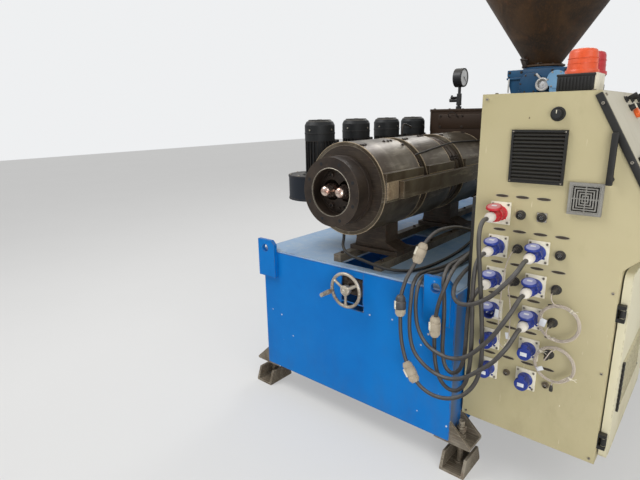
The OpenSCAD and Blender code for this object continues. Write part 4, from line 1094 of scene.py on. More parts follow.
def thin_leads():
    """Two coiled leads and a looped one, with their plugs, ties and paper tags."""
    seats = ((1, 1), (1, 2), (3, 2), (3, 3), (3, 4))
    plugs = {seat: lead_plug(*seat) for seat in seats}
    route = smooth_route(INTO_UPPER_COIL + coil_turns(UPPER_COIL, 4.52) + OUT_OF_UPPER_COIL, 5)
    pieces = [
        plugs[3, 2],
        plugs[3, 3],
        coil_tie("upper_coil_tie", UPPER_COIL, 0.55),
        coil_tie("upper_coil_tie_2", UPPER_COIL, 3.6),
        tag("upper_coil_tag", (1398, 52, 742), (22, 1, 30), 0.25, (1402, 52, 772)),
    ]
    thin_lead("upper_coil_lead", route, ["lead_1", "coil_1"], pieces, lay="coiled")
    end = loose_connector("coil_end_connector", (1460, 60.5, 493))
    route = smooth_route(INTO_LOWER_COIL + coil_turns(LOWER_COIL, 4.3) + OUT_OF_LOWER_COIL, 5)
    pieces = [
        plugs[3, 4],
        end,
        coil_tie("lower_coil_tie", LOWER_COIL, 5.4),
        coil_tie("lower_coil_tie_2", LOWER_COIL, 2.1),
        tag("lower_coil_tag", (1404, 53, 566), (24, 1, 16), -0.5, (1408, 53, 578)),
    ]
    nodes = ["lead_2", "coil_2"]
    thin_lead("lower_coil_lead", route, nodes, pieces, "connector", "coiled")
    pieces = [
        plugs[1, 1],
        plugs[1, 2],
        tag("looped_lead_tag", (1243, 29, 742), (20, 1, 32), 0.12, (1259, 30, 772)),
        tag("looped_lead_tag_2", (1288, 34, 664), (15, 1, 26), -0.2, (1297, 35, 688)),
    ]
    thin_lead("looped_lead", smooth_route(LOOPED, 8), ["lead_3"], pieces)


heater_cables()
barrel_cables()
thin_leads()


# Sockets, connectors and small fittings of the console's front panel

LID_LEAN = 15
FLANGE_W, FLANGE_H = 75, 85
PLUGGED_ROWS = 4
EMPTY_SOCKET = (0, 3)
CONNECTORS = {
    # column and row: what it carries
    (1, 0): "open", (1, 1): "plugged", (1, 2): "plugged", (1, 5): "small", (2, 0): "square",
    (3, 1): "open", (3, 2): "plugged", (3, 3): "plugged", (3, 4): "plugged", (3, 5): "small",
}  # fmt: skip


def flattened(shape, made, centre, scale):
    """Scales what was made about a centre."""
    bmesh.ops.scale(shape, vec=scale, space=Matrix.Translation(-Vector(centre)), verts=made)


def socket_flange(name, x, z):
    """Cream flange with a screw in each corner."""
    shape = bmesh.new()
    low = (x - FLANGE_W / 2, PANEL_Y - 7, z - FLANGE_H / 2)
    block(shape, low, (FLANGE_W, 7, FLANGE_H), 2.5)
    for dx, dz in product((-29, 29), (-34, 34)):
        cap_screw(shape, (x + dx, PANEL_Y - 6.6, z + dz), "-y", 9, 1, 2)
    finished(name, shape, [CREAM, SCREW_DULL, HOLE_SHADE])


def shut_lid(shape, x, z):
    """Lid closed over the socket, with its thumb tab and a bare label."""
    disc = [(0, 0), (25, 0), (25, 5), (23.5, 7.2), (20.5, 7.8), (19.5, 6.4), (0, 6.4)]
    turned(shape, disc, (x, PANEL_Y - 55, z), "-y", 40)
    block(shape, (x - 10, PANEL_Y - 62.5, z + 17), (20, 8, 21), 2)
    block(shape, (x - 12, PANEL_Y - 62.6, z - 7.5), (24, 2, 15), 0.6, 1)


def raised_lid(shape, x, z):
    """Lid swung up on its hinge: a rim, a paler disc with painted light on its upturned face, and a
    bare label.
    """
    lean = Matrix.Rotation(math.radians(LID_LEAN), 4, "X")
    hinge = Matrix.Translation((x, PANEL_Y - 47, z + 36)) @ lean
    centre = hinge @ Vector((0, -26, 0))
    edge = [
        (0, 0.6), (24, 0.6), (24, 0), (28, 0), (28.4, 5), (27, 7.2), (24.6, 7.8), (23.6, 6.8),
        (0, 6.8),
    ]  # fmt: skip
    disc = [(0, 6.4), (23.2, 6.4), (22.2, 8), (12, 8.8), (0, 9)]
    turned(shape, edge, centre, turn=lean, sides=40)
    # The disc takes the paler look: painted light on the lid's upturned face
    turned(shape, disc, centre, turn=lean, sides=36, tint=1)
    block(shape, centre + Vector((-9, -5, 8.6)), (18, 10, 0.9), 0.3, 2, lean)


def power_socket(column, row):
    """Round socket whose lid is shut in the lower rows and raised in the others."""
    x, z = COLUMN[column], ROW[row]
    name, shut = f"socket_{column}_{row}", row >= PLUGGED_ROWS
    look = RED_SOCKET if row == 0 else LOOKS["socket_blue"]
    socket_flange(name + "_flange", x, z)
    shape = bmesh.new()
    at = (x, PANEL_Y - 6.5, z)
    body = [
        (0, 0), (28, 0), (28, 4), (24, 7), (23, 12), (23, 33), (25.4, 36), (25.4, 48), (24, 49.5),
    ]  # fmt: skip
    well = [(0, 49.5)] if shut else [(22, 49.5), (21.5, 44), (21.5, 24), (0, 24)]
    turned(shape, body + well, at, "-y", 40)
    ring_of(shape, 12, at, "-y", lambda: block(shape, (24.2, -2, 37.5), (2.4, 4, 9), 0.8))
    block(shape, (x - 9, PANEL_Y - 56, z + 26), (18, 15, 13), 2)
    rod(shape, (x - 11, PANEL_Y - 49, z + 35), "x", 4.5, 22, 16)
    rod(shape, (x + 25, PANEL_Y - 36, z - 12), "x", 3.2, 7, 12)
    if shut:
        shut_lid(shape, x, z)
        looks = [look, BARE_LABEL]
    else:
        raised_lid(shape, x, z)
        looks = [look, LID_RED_LIT if look is RED_SOCKET else LID_BLUE_LIT, BARE_LABEL]
    if (column, row) == EMPTY_SOCKET:
        for i in range(3):
            angle = math.radians(90 + 120 * i)
            pin = (x + 11 * math.cos(angle), PANEL_Y - 28, z + 11 * math.sin(angle))
            rod(shape, pin, "-y", 2.6, 15, 12, tint=2)
    finished(name, shape, looks, stands_for=["power_sockets"])


def power_sockets():
    """Two columns of six; the upper right place holds a connector instead."""
    for row, column in product(range(6), (0, 2)):
        if (column, row) not in CONNECTORS:
            power_socket(column, row)


def signal_connector(column, row, kind):
    """Round threaded connector: square-flanged, small and dull, or the seat of a lead's plug."""
    x, z = COLUMN[column], ROW[row]
    at = (x, PANEL_Y, z)
    shape = bmesh.new()
    if kind == "square":
        block(shape, (x - 17, PANEL_Y - 4, z - 17), (34, 4, 34), 1.2, 1)
        for dx, dz in product((-12.5, 12.5), repeat=2):
            cap_screw(shape, (x + dx, PANEL_Y - 4, z + dz), "-y", 5, 2, 0)
    nut = [(0, 0), (18, 0), (18, 1.4), (16.5, 2.6), (16.5, 8), (12.5, 8.6)]
    if kind == "plugged":
        turned(shape, nut + [(11.5, 9), (11.5, 20), (0, 20)], at, "-y", 32)
    else:
        well = [(13.6, 9), (13.6, 18), (12, 20), (10, 20), (10, 7), (0, 7)]
        turned(shape, nut + well, at, "-y", 32)
        for i in range(7):
            angle = 2 * math.pi * i / 6
            reach = 5.6 if i < 6 else 0
            pin = (x + reach * math.cos(angle), PANEL_Y - 6, z + reach * math.sin(angle))
            rod(shape, pin, "-y", 1.1, 7, 8, tint=2)
    ring_of(shape, 20, at, "-y", lambda: block(shape, (15.9, -1, 2.8), (1.5, 2, 4.8), 0.3))
    looks = [LOOKS["connector_metal"], SCREW_DULL, HUB_GREY]
    if kind == "small":
        flattened(shape, shape.verts[:], at, (0.74, 0.74, 0.74))
        looks[0] = NUT_DULL
    name = f"connector_{column}_{row}"
    finished(name, shape, looks, stands_for=["signal_connectors"])


def panel_knob():
    """Turning knob above the grille."""
    shape = bmesh.new()
    x, z = 1375, 1486
    at = (x, PANEL_Y, z)
    skirt = [(0, 0), (24, 0), (24, 2), (22.5, 3.5), (20.5, 4), (20.5, 11), (0, 11)]
    turned(shape, skirt, at, "-y", 40)
    turned(shape, [(0, 10), (15, 10), (15, 22), (13.5, 23.5), (0, 23.5)], at, "-y", 36, 1)
    ring_of(shape, 14, at, "-y", lambda: block(shape, (14.4, -1.3, 12), (1.6, 2.6, 10), 0.5, 1))
    block(shape, (x - 1.2, PANEL_Y - 24.2, z + 2), (2.4, 1, 11), 0.2, 2)
    looks = [LOOKS["trim_black"], RUBBER, CREAM]
    finished("panel_knob", shape, looks, stands_for=["signal_connectors"])


def oval_plates():
    """Bare oval plates over the sockets, where the real ones carry engraved words."""
    shape = bmesh.new()
    for row, z in enumerate(ROW):
        for column in range(3 if row == 0 else 4):
            centre = (COLUMN[column], PANEL_Y, z + 65)
            for radius, high, stretch, tint in ((6, 1.1, 4.1, 1), (4.9, 1.5, 4.7, 0)):
                made = rod(shape, centre, "-y", radius, high, 28, tint=tint)
                flattened(shape, made, centre, (stretch, 1, 1))
    finished("oval_plates", shape, [SLOT_DARK, SCREW_DULL])


def shade_edge_strip():
    """Black strip on the console's left front edge, painted where a dark band of shade falls."""
    shape = bmesh.new()
    # Black blocks standing in for the shade along the console's left edge
    block(shape, (1098, 100.5, 560), (13.5, 24, 620), 1.5)
    block(shape, (1096.5, 104, 566), (3, 17, 608), 1)
    finished("shade_edge_strip", shape, RUBBER)


def panel_screws():
    """Screws of the front panel and of the ventilation grille."""
    shape = bmesh.new()
    for x, z in ((1130, 1540), (1130, 252), (1606, 252), (1130, 900), (1606, 900), (1606, 600)):
        cap_screw(shape, (x, PANEL_Y, z), "-y", 9)
    for dx, dz in product((6, 178), (6, 179)):
        cap_screw(shape, (1231 + dx, PANEL_Y - 12, 1249 + dz), "-y", 5)
    finished("panel_screws", shape, [SCREW_DULL, HOLE_SHADE])


power_sockets()
for seat, kind in CONNECTORS.items():
    signal_connector(*seat, kind)
panel_knob()
oval_plates()
shade_edge_strip()
panel_screws()


# Warning lamps on the console

LAMP_X, LAMP_BASE = 1374, 1624
ORANGE_Y, RED_Y = 350, 480


def lamp_bases():
    """A ribbed square base and a round one, with a cream side plate."""
    shape = bmesh.new()
    low = CONSOLE_TOP
    block(shape, (LAMP_X - 65, 285, low), (124, 130, 66), 3)
    for i in range(11):
        for y in (282.6, 413.4):
            block(shape, (LAMP_X - 60 + i * 11, y, low + 4), (5.4, 4, 50), 0.8)
    block(shape, (LAMP_X - 67, 283, low + 57), (128, 134, 8), 2)
    round_base = [(0, 0), (53, 0), (53, 30), (50, 34), (50, 60), (53, 62), (53, 66), (0, 66)]
    turned(shape, round_base, (LAMP_X, RED_Y, low), sides=40)
    block(shape, (LAMP_X + 58.5, 287, low), (6.5, 126, 66), 1.5, 1)
    finished("lamp_bases", shape, [RUBBER, CREAM], stands_for=["beacons"])


def warning_lens(name, y, look):
    """Ribbed lens: a collar, then a slightly tapered dome with a nearly flat top."""
    shape = bmesh.new()
    at = (LAMP_X, y, LAMP_BASE)
    dome = [
        (0, 0), (56, 0), (56, 11), (54, 14), (50.5, 15), (49.5, 30), (47.5, 72), (44, 81),
        (37, 86), (20, 88.5), (0, 89),
    ]  # fmt: skip
    turned(shape, dome, at, sides=56)
    lean = Matrix.Rotation(math.radians(-2.6), 4, "Y")
    rib = (46.8, -1.4, 18), (2.2, 2.8, 38)
    ring_of(shape, 36, at, "z", lambda: block(shape, *rib, 0.9, turn=lean))
    for z in (34, 52):
        ring = [(47.5, z), (50.6, z + 0.6), (50.6, z + 2.4), (47.5, z + 3), (47.5, z)]
        turned(shape, ring, at, sides=56)
    finished(name, shape, look, stands_for=["beacons"])


lamp_bases()
warning_lens("orange_lens", ORANGE_Y, LOOKS["beacon_orange"])
warning_lens("red_lens", RED_Y, RED_DOME)


# Barrel: screw tips, front disc, shrouds and heater bands

DISC_FACE_Y, DISC_RIM_Y = -49, -110
DISC_RIM = (BARREL_X, DISC_RIM_Y, BARREL_Z)
DISC_BOLTS_R = 128
ZONES = [(0, 310), (365, 260), (765, 330), (1665, 290), (2010, 290)]
HEATER_BANDS, BAND_W = (316, 631, 668, 706, 1098, 1958), 26
SHROUD_SCREWS = (
    # distance from the front, degrees from straight up to each side
    (8, 21), (24, 21.5), (40, 21), (206, 17), (235, 17.5), (264, 17), (298, 30), (377, 16),
    (396, 16.5), (415, 16), (566, 9), (590, 9.5), (613, 9), (778, 14), (800, 14), (1060, 12),
    (1084, 12), (1680, 16), (1700, 16), (1930, 16), (2025, 16), (2050, 16), (2275, 16),
)  # fmt: skip


def outward(shape, y, angle, radius, make):
    """Places what make() adds at the origin, along z, on the round of the barrel."""
    turn = Matrix.Rotation(math.radians(angle), 4, "Y")
    place = Matrix.Translation((BARREL_X, y, BARREL_Z)) @ turn
    bmesh.ops.transform(shape, matrix=place @ Matrix.Translation((0, 0, radius)), verts=make())


def screw_tip(side, body):
    """Bulb on the end of a screw, with three grooved wings."""
    shape = bmesh.new()
    x = BARREL_X + side * 40
    bulb = [
        (0, 1), (32, 1), (32, 9), (29, 15), (26.5, 23), (25.8, 33), (24, 42), (20, 49), (13, 54),
        (6, 56.2), (0, 56.8),
    ]  # fmt: skip
    turned(shape, bulb, (x, -55, BARREL_Z), "-y", 44)
    skew = Matrix.Rotation(0.35, 4, "Z") @ Matrix.Translation((22, 0, 0))
    for i in range(3):
        wing = Matrix.Rotation(2 * math.pi * i / 3, 4, "Y") @ AXES["-y"] @ skew
        rod(shape, (x, -60, BARREL_Z), "y", 3, 30, 10, 1.4, turn=wing, round_by=1)
    finished(f"{body}_tip", shape, LOOKS["screw_steel"], body)


def disc_fittings():
    """Rings, cap screws and plugs of the front disc, and thin black discs painted as the shade in
    its bolt holes.
    """
    shape = bmesh.new()
    recess = (BARREL_X, DISC_FACE_Y, BARREL_Z)
    bright = [(102, -6), (102, 0.8), (104, 0.8), (105, 0), (105, -6), (102, -6)]
    turned(shape, bright, DISC_RIM, "-y", 96, 1)
    for dx, dz in product((-39, 39), (-68, 68)):
        cap_screw(shape, (BARREL_X + dx, DISC_FACE_Y, BARREL_Z + dz), "-y", 24, 0, 2)
    for dz in (-78, 78):
        stud = [(0, 0), (7, 0), (7, 5), (5.5, 6.5), (0, 6.5)]
        turned(shape, stud, (BARREL_X, DISC_FACE_Y, BARREL_Z + dz), "-y", 20)
    turned(shape, [(98, 0), (98, 3), (94, 5), (88, 5), (86, 0), (98, 0)], recess, "-y", 72)
    for i in range(8):
        angle = math.radians(22.5 + 45 * i)
        across, up = DISC_BOLTS_R * math.sin(angle), DISC_BOLTS_R * math.cos(angle)
        at = (BARREL_X + across, DISC_RIM_Y, BARREL_Z + up)
        # A thin black disc at each hole: painted shade where a bolt hole is
        hole = [(0, -0.5), (8, -0.5), (8, 0.3), (7, 0.5), (0, 0.5)]
        turned(shape, hole, at, "-y", 20, 2)
    rear = [(149, 0), (151.4, 1), (151.4, 7), (149, 8), (149, 0)]
    turned(shape, rear, (BARREL_X, -40, BARREL_Z), "y", 96)
    finished("disc_fittings", shape, [BOLT_DARK, SCREW_DULL, HOLE_SHADE])


def shroud_trim():
    """Rolled rims at the ends of each shroud, seam strips and the end plate of the side bar."""
    shape = bmesh.new()
    rim = [(205, 0), (207.2, 0), (207.8, 1), (207.8, 3.6), (207, 4.4), (206, 1.5), (205, 0)]
    for y, length in ZONES:
        for edge, way in ((y - 1, "y"), (y + length + 1, "-y")):
            turned(shape, rim, (BARREL_X, edge, BARREL_Z), way, 120)
        for low in (-216, 209):
            block(shape, (BARREL_X + low, y + 4, BARREL_Z + 42), (6, length - 8, 3.5), 0.8)
    block(shape, (768, 1, 1144), (8, 86, 73), 2)
    rubbed = steel("rubbed_trim", shade(160, 144, 120), shade(120, 104, 84), rough=0.34, rust=0.3)
    finished("shroud_trim", shape, rubbed)


def shroud_bolts():
    """Bolts along the shrouds' top seams and under their flanges."""
    shape = bmesh.new()
    for (y, angle), side in product(SHROUD_SCREWS, (-1, 1)):
        outward(shape, y, side * angle, 206.6, lambda: bolt(shape, (0, 0, 0), "z", 11, 6))
    for (y, length), share, side in product(ZONES, (0.12, 0.5, 0.88), (-1, 1)):
        at = (BARREL_X + side * 200, y + length * share, BARREL_Z - 41)
        bolt(shape, at, "-z", 12, 7)
    finished("shroud_bolts", shape, BOLT_DARK)


def heater_bands():
    """Heater bands in the gaps between the shrouds, with their clamping lugs."""
    shape = bmesh.new()
    band = [
        (190, 0), (193.4, 0), (194, 1), (194, BAND_W - 1), (193.4, BAND_W), (190, BAND_W), (190, 0),
    ]  # fmt: skip
    for y in HEATER_BANDS:
        turned(shape, band, (BARREL_X, y, BARREL_Z), "y", 96)
        middle = y + BAND_W / 2
        for angle in (-64, 62):
            for x in (-9, 4):
                lug = (x, -10, 0), (5, 20, 14)
                outward(shape, middle, angle, 193, lambda: block(shape, *lug, 1, 1))
            screw = (-16, 0, 0), "x", 3, 32, 12
            outward(shape, middle, angle, 200, lambda: rod(shape, *screw, tint=1))
    finished("heater_bands", shape, [LOOKS["barrel_steel"], BOLT_DARK])


def bent_rod():
    """Thermocouple rod that hooks over from the barrel to the vent box."""
    bends = [
        (450, 642, 1330), (450, 642, 1380), (450, 644, 1420), (450, 654, 1436), (450, 680, 1436),
        (450, 735, 1421),
    ]  # fmt: skip
    pipe("bent_thermocouple_rod", smooth_route(bends, 6), 9, BOLT_DARK)


for side, body in ((-1, "left_screw"), (1, "right_screw")):
    screw_tip(side, body)
disc_fittings()
shroud_trim()
shroud_bolts()
heater_bands()
bent_rod()


# Blowers

BLOWER_X, CASING_OFFSET = 247, 37.3
CASING_X = BLOWER_X - CASING_OFFSET
BLOWERS = [190, 495, 800, 1105, 1810, 2155]


def motor_fittings(name, y):
    """Fan guard, collars, terminal box and cable gland of an upright blower motor."""
    shape = bmesh.new()
    x, top = BLOWER_X, (BLOWER_X, y, 1471)
    for radius in (16, 27, 38, 49):
        turned(shape, hoop(radius, radius + 5, -2, 1.4), top, sides=40)
    for i in range(4):
        cross = Matrix.Rotation(math.pi * i / 4, 4, "Z")
        block(shape, (x - 56, y - 2.5, 1469), (112, 5, 2.6), 0.6, turn=cross)
    turned(shape, [(0, -2), (12, -2), (12, 2), (10, 3), (0, 3)], top, sides=24)
    collar = [(73, 0), (76.2, 0.6), (76.6, 2), (76.6, 6), (76.2, 7.4), (73, 8), (73, 0)]
    turned(shape, collar, (x, y, 1403), sides=64)
    ring_of(shape, 4, (x, y, 1424), "z", lambda: rod(shape, (74.5, 0, 0), "x", 4, 3.4, 12, tint=1))
    flange = [(60, 0), (88, 0), (88, 7), (84, 9), (76, 9), (76, 16), (60, 16), (60, 0)]
    turned(shape, flange, (x, y, 1201), sides=64)
    ring_of(shape, 4, (x, y, 1210), "z", lambda: bolt(shape, (82, 0, 0), "z", 9, 5, 1))
    block(shape, (x - 34, y + 70, 1276), (68, 36, 92), 4)
    block(shape, (x - 36, y + 104, 1273), (72, 7, 98), 2.5)
    for dx, dz in product((-28, 28), (-40, 40)):
        cap_screw(shape, (x + dx, y + 110.6, 1322 + dz), "y", 6, 1, 1)
    gland = [(0, 0), (10, 0), (10, 10), (8, 12), (8, 20), (0, 20)]
    turned(shape, gland, (x + 20, y + 90, 1276), "-z", 16)
    finished(name, shape, [LOOKS["motor_black"], SCREW_DULL])


def casing_rims(name, y):
    """Folded rims and lid bolts of a blower's round casing."""
    shape = bmesh.new()
    rim = [(132, 0), (137, 0.5), (137.5, 2), (137.5, 7), (137, 8.5), (132, 9), (132, 0)]
    for z in (1078.5, 1192):
        turned(shape, rim, (CASING_X, y, z), sides=72)
    lid = (CASING_X, y, 1201.4)
    ring_of(shape, 8, lid, "z", lambda: bolt(shape, (124, 0, 0), "z", 9, 4, 1))
    finished(name, shape, [LOOKS["casing_navy"], SCREW_DULL])


for i, y in enumerate(BLOWERS, 1):
    motor_fittings(f"blower_motor_fittings_{i}", y)
    casing_rims(f"blower_casing_rims_{i}", y)


# Vent box and its pressure gauge

VENT_FACE_Y, VENT_SIDE = 1152, 773
GAUGE = (526, 1215, 1698)
GAUGE_READS = -128


def vent_box_lid():
    """Lid, corner folds and front plate of the vent box, with their bolts."""
    shape = bmesh.new()
    block(shape, (341, 1151, 1500), (432, 468, 16), 2.5)
    for x in (344, 760):
        block(shape, (x, VENT_FACE_Y, 1384), (10, 4, 116), 1)
    block(shape, (400, VENT_FACE_Y, 1400), (314, 3.5, 84), 2)
    for x, z in product((414, 557, 700), (1410, 1474)):
        bolt(shape, (x, VENT_FACE_Y, z), "-y", 11, 5, 1)
    for y in (1180, 1385, 1590):
        for x in (360, 754):
            bolt(shape, (x, y, 1515.6), "z", 12, 5, 1)
        bolt(shape, (VENT_SIDE, y, 1440), "x", 11, 3, 1)
    finished("vent_box_lid", shape, [LOOKS["vent_brown"], BOLT_DARK])


def vent_lid_grip():
    """Bent rod to lift the front plate by."""
    bends = [
        (472, 1153, 1470), (472, 1142, 1471), (476, 1136, 1484), (500, 1134, 1497),
        (524, 1136, 1484), (528, 1142, 1471), (528, 1153, 1470),
    ]  # fmt: skip
    pipe("vent_lid_grip", smooth_route(bends, 5), 5, BOLT_DARK)


def gauge_dial():
    """White dial that looks to the right, with its bezel, marks and needle."""
    shape = bmesh.new()
    x, y, z = GAUGE
    bezel = [(46.5, -0.5), (55, -0.5), (55.5, 1), (54, 4.2), (50, 4.8), (46.5, 2.6), (46.5, -0.5)]
    turned(shape, [(0, 0), (47, 0), (47, 1.2), (0, 1.2)], GAUGE, "x", 48)
    turned(shape, bezel, GAUGE, "x", 56, 1)
    for i in range(25):
        deep = 7 if i % 4 == 0 else 4
        mark = block(shape, (x + 1, -0.5, 44 - deep), (0.6, 1, deep), 0, 1)
        spun(shape, mark, (0, y, z), "X", -135 + 270 * i / 24)
    needle = block(shape, (x + 2, -0.9, -12), (1, 1.8, 50), 0.3, 1)
    spun(shape, needle, (0, y, z), "X", GAUGE_READS)
    turned(shape, [(0, 0), (4.5, 0), (4.5, 3.4), (3, 4), (0, 4)], GAUGE, "x", 20, 1)
    finished("gauge_dial", shape, [DIAL, LOOKS["gauge_black"]])


def gauge_valve():
    """Nuts and the small handwheel of the valve under the gauge."""
    shape = bmesh.new()
    y = GAUGE[1]
    rod(shape, (502, y, 1588), "z", 15, 18, 6, round_by=1)
    rod(shape, (502, y, 1536), "z", 16, 16, 6, round_by=1)
    rod(shape, (452, y, 1567), "-x", 12, 9, 6, round_by=1)
    wheel = [(0, 0), (18, 0), (20, 3), (20, 8), (18, 11), (0, 11)]
    turned(shape, wheel, (466, y, 1578), "z", 10)
    rod(shape, (466, y, 1567), "z", 3.5, 14, 12)
    finished("gauge_valve", shape, LOOKS["gauge_black"])


vent_box_lid()
vent_lid_grip()
gauge_dial()
gauge_valve()


# Feeder under the hopper, and the hopper's fittings

FEED_X, FEED_Y, HOPPER_Z = 557, 2620, 1835
FEEDER_LOW, FEEDER_SHOULDER, FEEDER_TOP, FEEDER_FRONT = 1385, 1775, 1815, 2470
CONE_WIDENS, CONE_RISES = 430, 638
COVER = (533, 2410, 1702)
HUB = (637, 2392, 1690)
CHUTE_X, CHUTE_Z = 738, 1722


def feeder_body():
    """Tapered housing, its top ring, the round front cover and their bolts."""
    shape = bmesh.new()
    low, high = (432, 682), (327, 787)
    outline = [
        (low[0], FEEDER_LOW), (low[1], FEEDER_LOW), (high[1], FEEDER_SHOULDER),
        (high[1], FEEDER_TOP), (high[0], FEEDER_TOP), (high[0], FEEDER_SHOULDER),
    ]  # fmt: skip
    plate(shape, outline, FEEDER_FRONT, 300, 4)
    ring = [(0, 0), (150, 0), (150, 14), (0, 14)]
    turned(shape, ring, (FEED_X, FEED_Y, FEEDER_TOP), sides=64)
    block(shape, (330, 2452, 1740), (176, 30, 16), 2)
    block(shape, (420, 2458, 1386), (274, 12, 22), 2)
    cover = [(0, -60), (84, -60), (84, 2), (80, 8), (60, 11), (0, 12)]
    turned(shape, cover, COVER, "-y", 64)
    turned(shape, [(0, -80), (40, -80), (40, 0), (0, 0)], HUB, "-y", 48)
    for x, z in ((346, 1795), (440, 1795), (674, 1795), (768, 1795), (446, 1398), (668, 1398)):
        bolt(shape, (x, 2458 if z < 1500 else FEEDER_FRONT, z), "-y", 15, 7, 1)
    bolt(shape, (345, 2466, 1756), "z", 14, 8, 1)
    front = (COVER[0], COVER[1] - 11, COVER[2])
    ring_of(shape, 6, front, "-y", lambda: bolt(shape, (70, 0, 0), "z", 10, 5, 1))
    slant = (high[1] - low[1]) / (FEEDER_SHOULDER - FEEDER_LOW)
    for z, y in product((1440, 1560, 1680), (2500, 2620, 2740)):
        side = low[1] + (z - FEEDER_LOW) * slant
        bolt(shape, (side + 1, y, z), "x", 12, 5, 1)
    looks = [LOOKS["feeder_blue"], BOLT_DARK]
    finished("feeder_body", shape, looks, stands_for=["feeder"])


def feeder_hub():
    """Grey hub with a pale face, its arm and a strip on the housing's left."""
    shape = bmesh.new()
    ring = [(33, 0), (46, 0), (50, 3), (51, 8), (51, 26), (48, 32), (40, 34), (34, 30), (33, 0)]
    face = [(0, 0), (33.5, 0), (33.5, 8), (30, 12), (16, 15), (0, 16)]
    turned(shape, ring, HUB, "-y", 56)
    turned(shape, face, HUB, "-y", 48, 1)
    turned(shape, [(0, 14), (8, 14), (8, 20), (0, 20)], HUB, "-y", 24)
    arm = Matrix.Rotation(math.radians(48), 4, "Y")
    block(shape, (572, 2378, 1742), (62, 8, 14), 2, turn=arm)
    block(shape, (344, 2450, 1640), (12, 6, 110), 1.5)
    finished("feeder_hub", shape, [HUB_GREY, DIAL])


def feeder_chute():
    """Pale blue round chute beside the feeder, with its flange and lower box."""
    shape = bmesh.new()
    x, z = CHUTE_X, CHUTE_Z
    tube = [(0, 0), (60, 0), (60, 112), (54, 118), (0, 118)]
    turned(shape, tube, (x, FEEDER_FRONT, z), "-y", 48)
    block(shape, (x - 48, 2358, 1600), (92, 110, 100), 14)
    turned(shape, [(0, 0), (66, 0), (66, 9), (0, 9)], (x, 2360, z), "-y", 48)
    ring_of(shape, 6, (x, 2350, z), "-y", lambda: bolt(shape, (58, 0, 0), "z", 9, 4, 1))
    finished("feeder_chute", shape, [CHUTE_BLUE, SCREW_DULL])


def hopper_clamp():
    """Clamp round the hopper's neck, the bolts of its flanges and the slide's handle."""
    shape = bmesh.new()
    turned(shape, hoop(116, 119.5, -2, 26), (FEED_X, FEED_Y, HOPPER_Z + 12), sides=72)
    block(shape, (550, 2486, 1846), (14, 20, 24), 2)
    rod(shape, (532, 2492, 1858), "x", 4, 52, 12)
    for z, radius, way in ((HOPPER_Z + 12, 139, "z"), (FEEDER_TOP, 140, "-z")):
        at, out = (FEED_X, FEED_Y, z), (radius, 0, 0)
        ring_of(shape, 8, at, "z", lambda: bolt(shape, out, way, 14, 7))
    handle = Matrix.Rotation(math.radians(-24), 4, "Y")
    block(shape, (428, 2480, 1830), (34, 16, 78), 3, turn=handle)
    block(shape, (424, 2474, 1884), (52, 24, 10), 2)
    finished("hopper_clamp", shape, BOLT_DARK)


def hopper_seams():
    """Rolled rims of the drum and the seams of drum and cone."""
    shape = bmesh.new()
    waist = [(548, -5), (553.5, -5), (555, -3), (555, 3), (553.5, 5), (548, 5), (548, -5)]
    rim = [(552, 0), (557, 1), (559, 4), (557, 7), (552, 8), (552, 0)]
    turned(shape, waist, (FEED_X, FEED_Y, 2485), sides=120)
    turned(shape, rim, (FEED_X, FEED_Y, 2735), sides=120)
    axis = Matrix.Translation((FEED_X, FEED_Y, 0))
    for i in range(4):
        turn = axis @ Matrix.Rotation(math.pi / 2 * i + 0.5, 4, "Z")
        seam = block(shape, (548, -2.5, 2486), (4, 5, 238), 1)
        bmesh.ops.transform(shape, matrix=turn, verts=seam)
    rise = Matrix.Rotation(math.atan2(CONE_WIDENS, CONE_RISES), 4, "Y")
    slant = Matrix.Translation((120, 0, HOPPER_Z + 12)) @ rise
    for i in range(2):
        turn = axis @ Matrix.Rotation(math.pi * i + 1.1, 4, "Z")
        seam = block(shape, (-2, -2.5, 0), (4, 5, 760), 1)
        bmesh.ops.transform(shape, matrix=turn @ slant, verts=seam)
    finished("hopper_seams", shape, LOOKS["hopper_brown"])


feeder_body()
feeder_hub()
feeder_chute()
hopper_clamp()
hopper_seams()


# Handwheel and base

WHEEL = (590, -50, 720)
SPOKES, CRANK = (90, 210, 330), 168
FEET_X, FEET_Y = (-30, 1130), (63, BASE_MIDDLE_Y, 3837)


def handwheel_fittings():
    """Hub, the bosses at both ends of each spoke, and the turned crank handle."""
    shape = bmesh.new()
    hub = [(0, 10), (23, 10), (24, 8), (24, -8), (21, -11), (14, -13), (0, -13)]
    turned(shape, hub, WHEEL, "y", 40)
    turned(shape, [(0, -12), (10, -12), (10, -18), (8, -20), (0, -20)], WHEEL, "y", 6)
    for angle in SPOKES:
        for low, high, fat, thin in ((16, 26, 12, 8.5), (66, 74, 7.5, 11)):
            boss = rod(shape, (low, 0, 0), "x", fat, high - low, 20, thin)
            spun(shape, boss, WHEEL, "Y", angle)
    grip = [
        (0, 0), (8, 0), (8, 8), (10, 10), (11.5, 30), (11, 52), (9.5, 68), (10.5, 76), (8, 81),
        (0, 82),
    ]  # fmt: skip
    spun(shape, turned(shape, grip, (78.5, 0, 0), "-y", 28), WHEEL, "Y", CRANK)
    finished("handwheel_fittings", shape, LOOKS["wheel_steel"], "wheel")


def handwheel_bearing():
    """Ring round the handwheel's spindle and the bolts of its block."""
    shape = bmesh.new()
    x, _, z = WHEEL
    ring = [(22, 0), (30, 0), (32, 3), (32, 6), (22, 8), (22, 0)]
    turned(shape, ring, (x, 8, z), "-y", 40)
    for dx in (-38, 38):
        bolt(shape, (x + dx, 9.5, z + 32), "-y", 13, 6)
    finished("handwheel_bearing_ring", shape, LOOKS["dark_steel"])


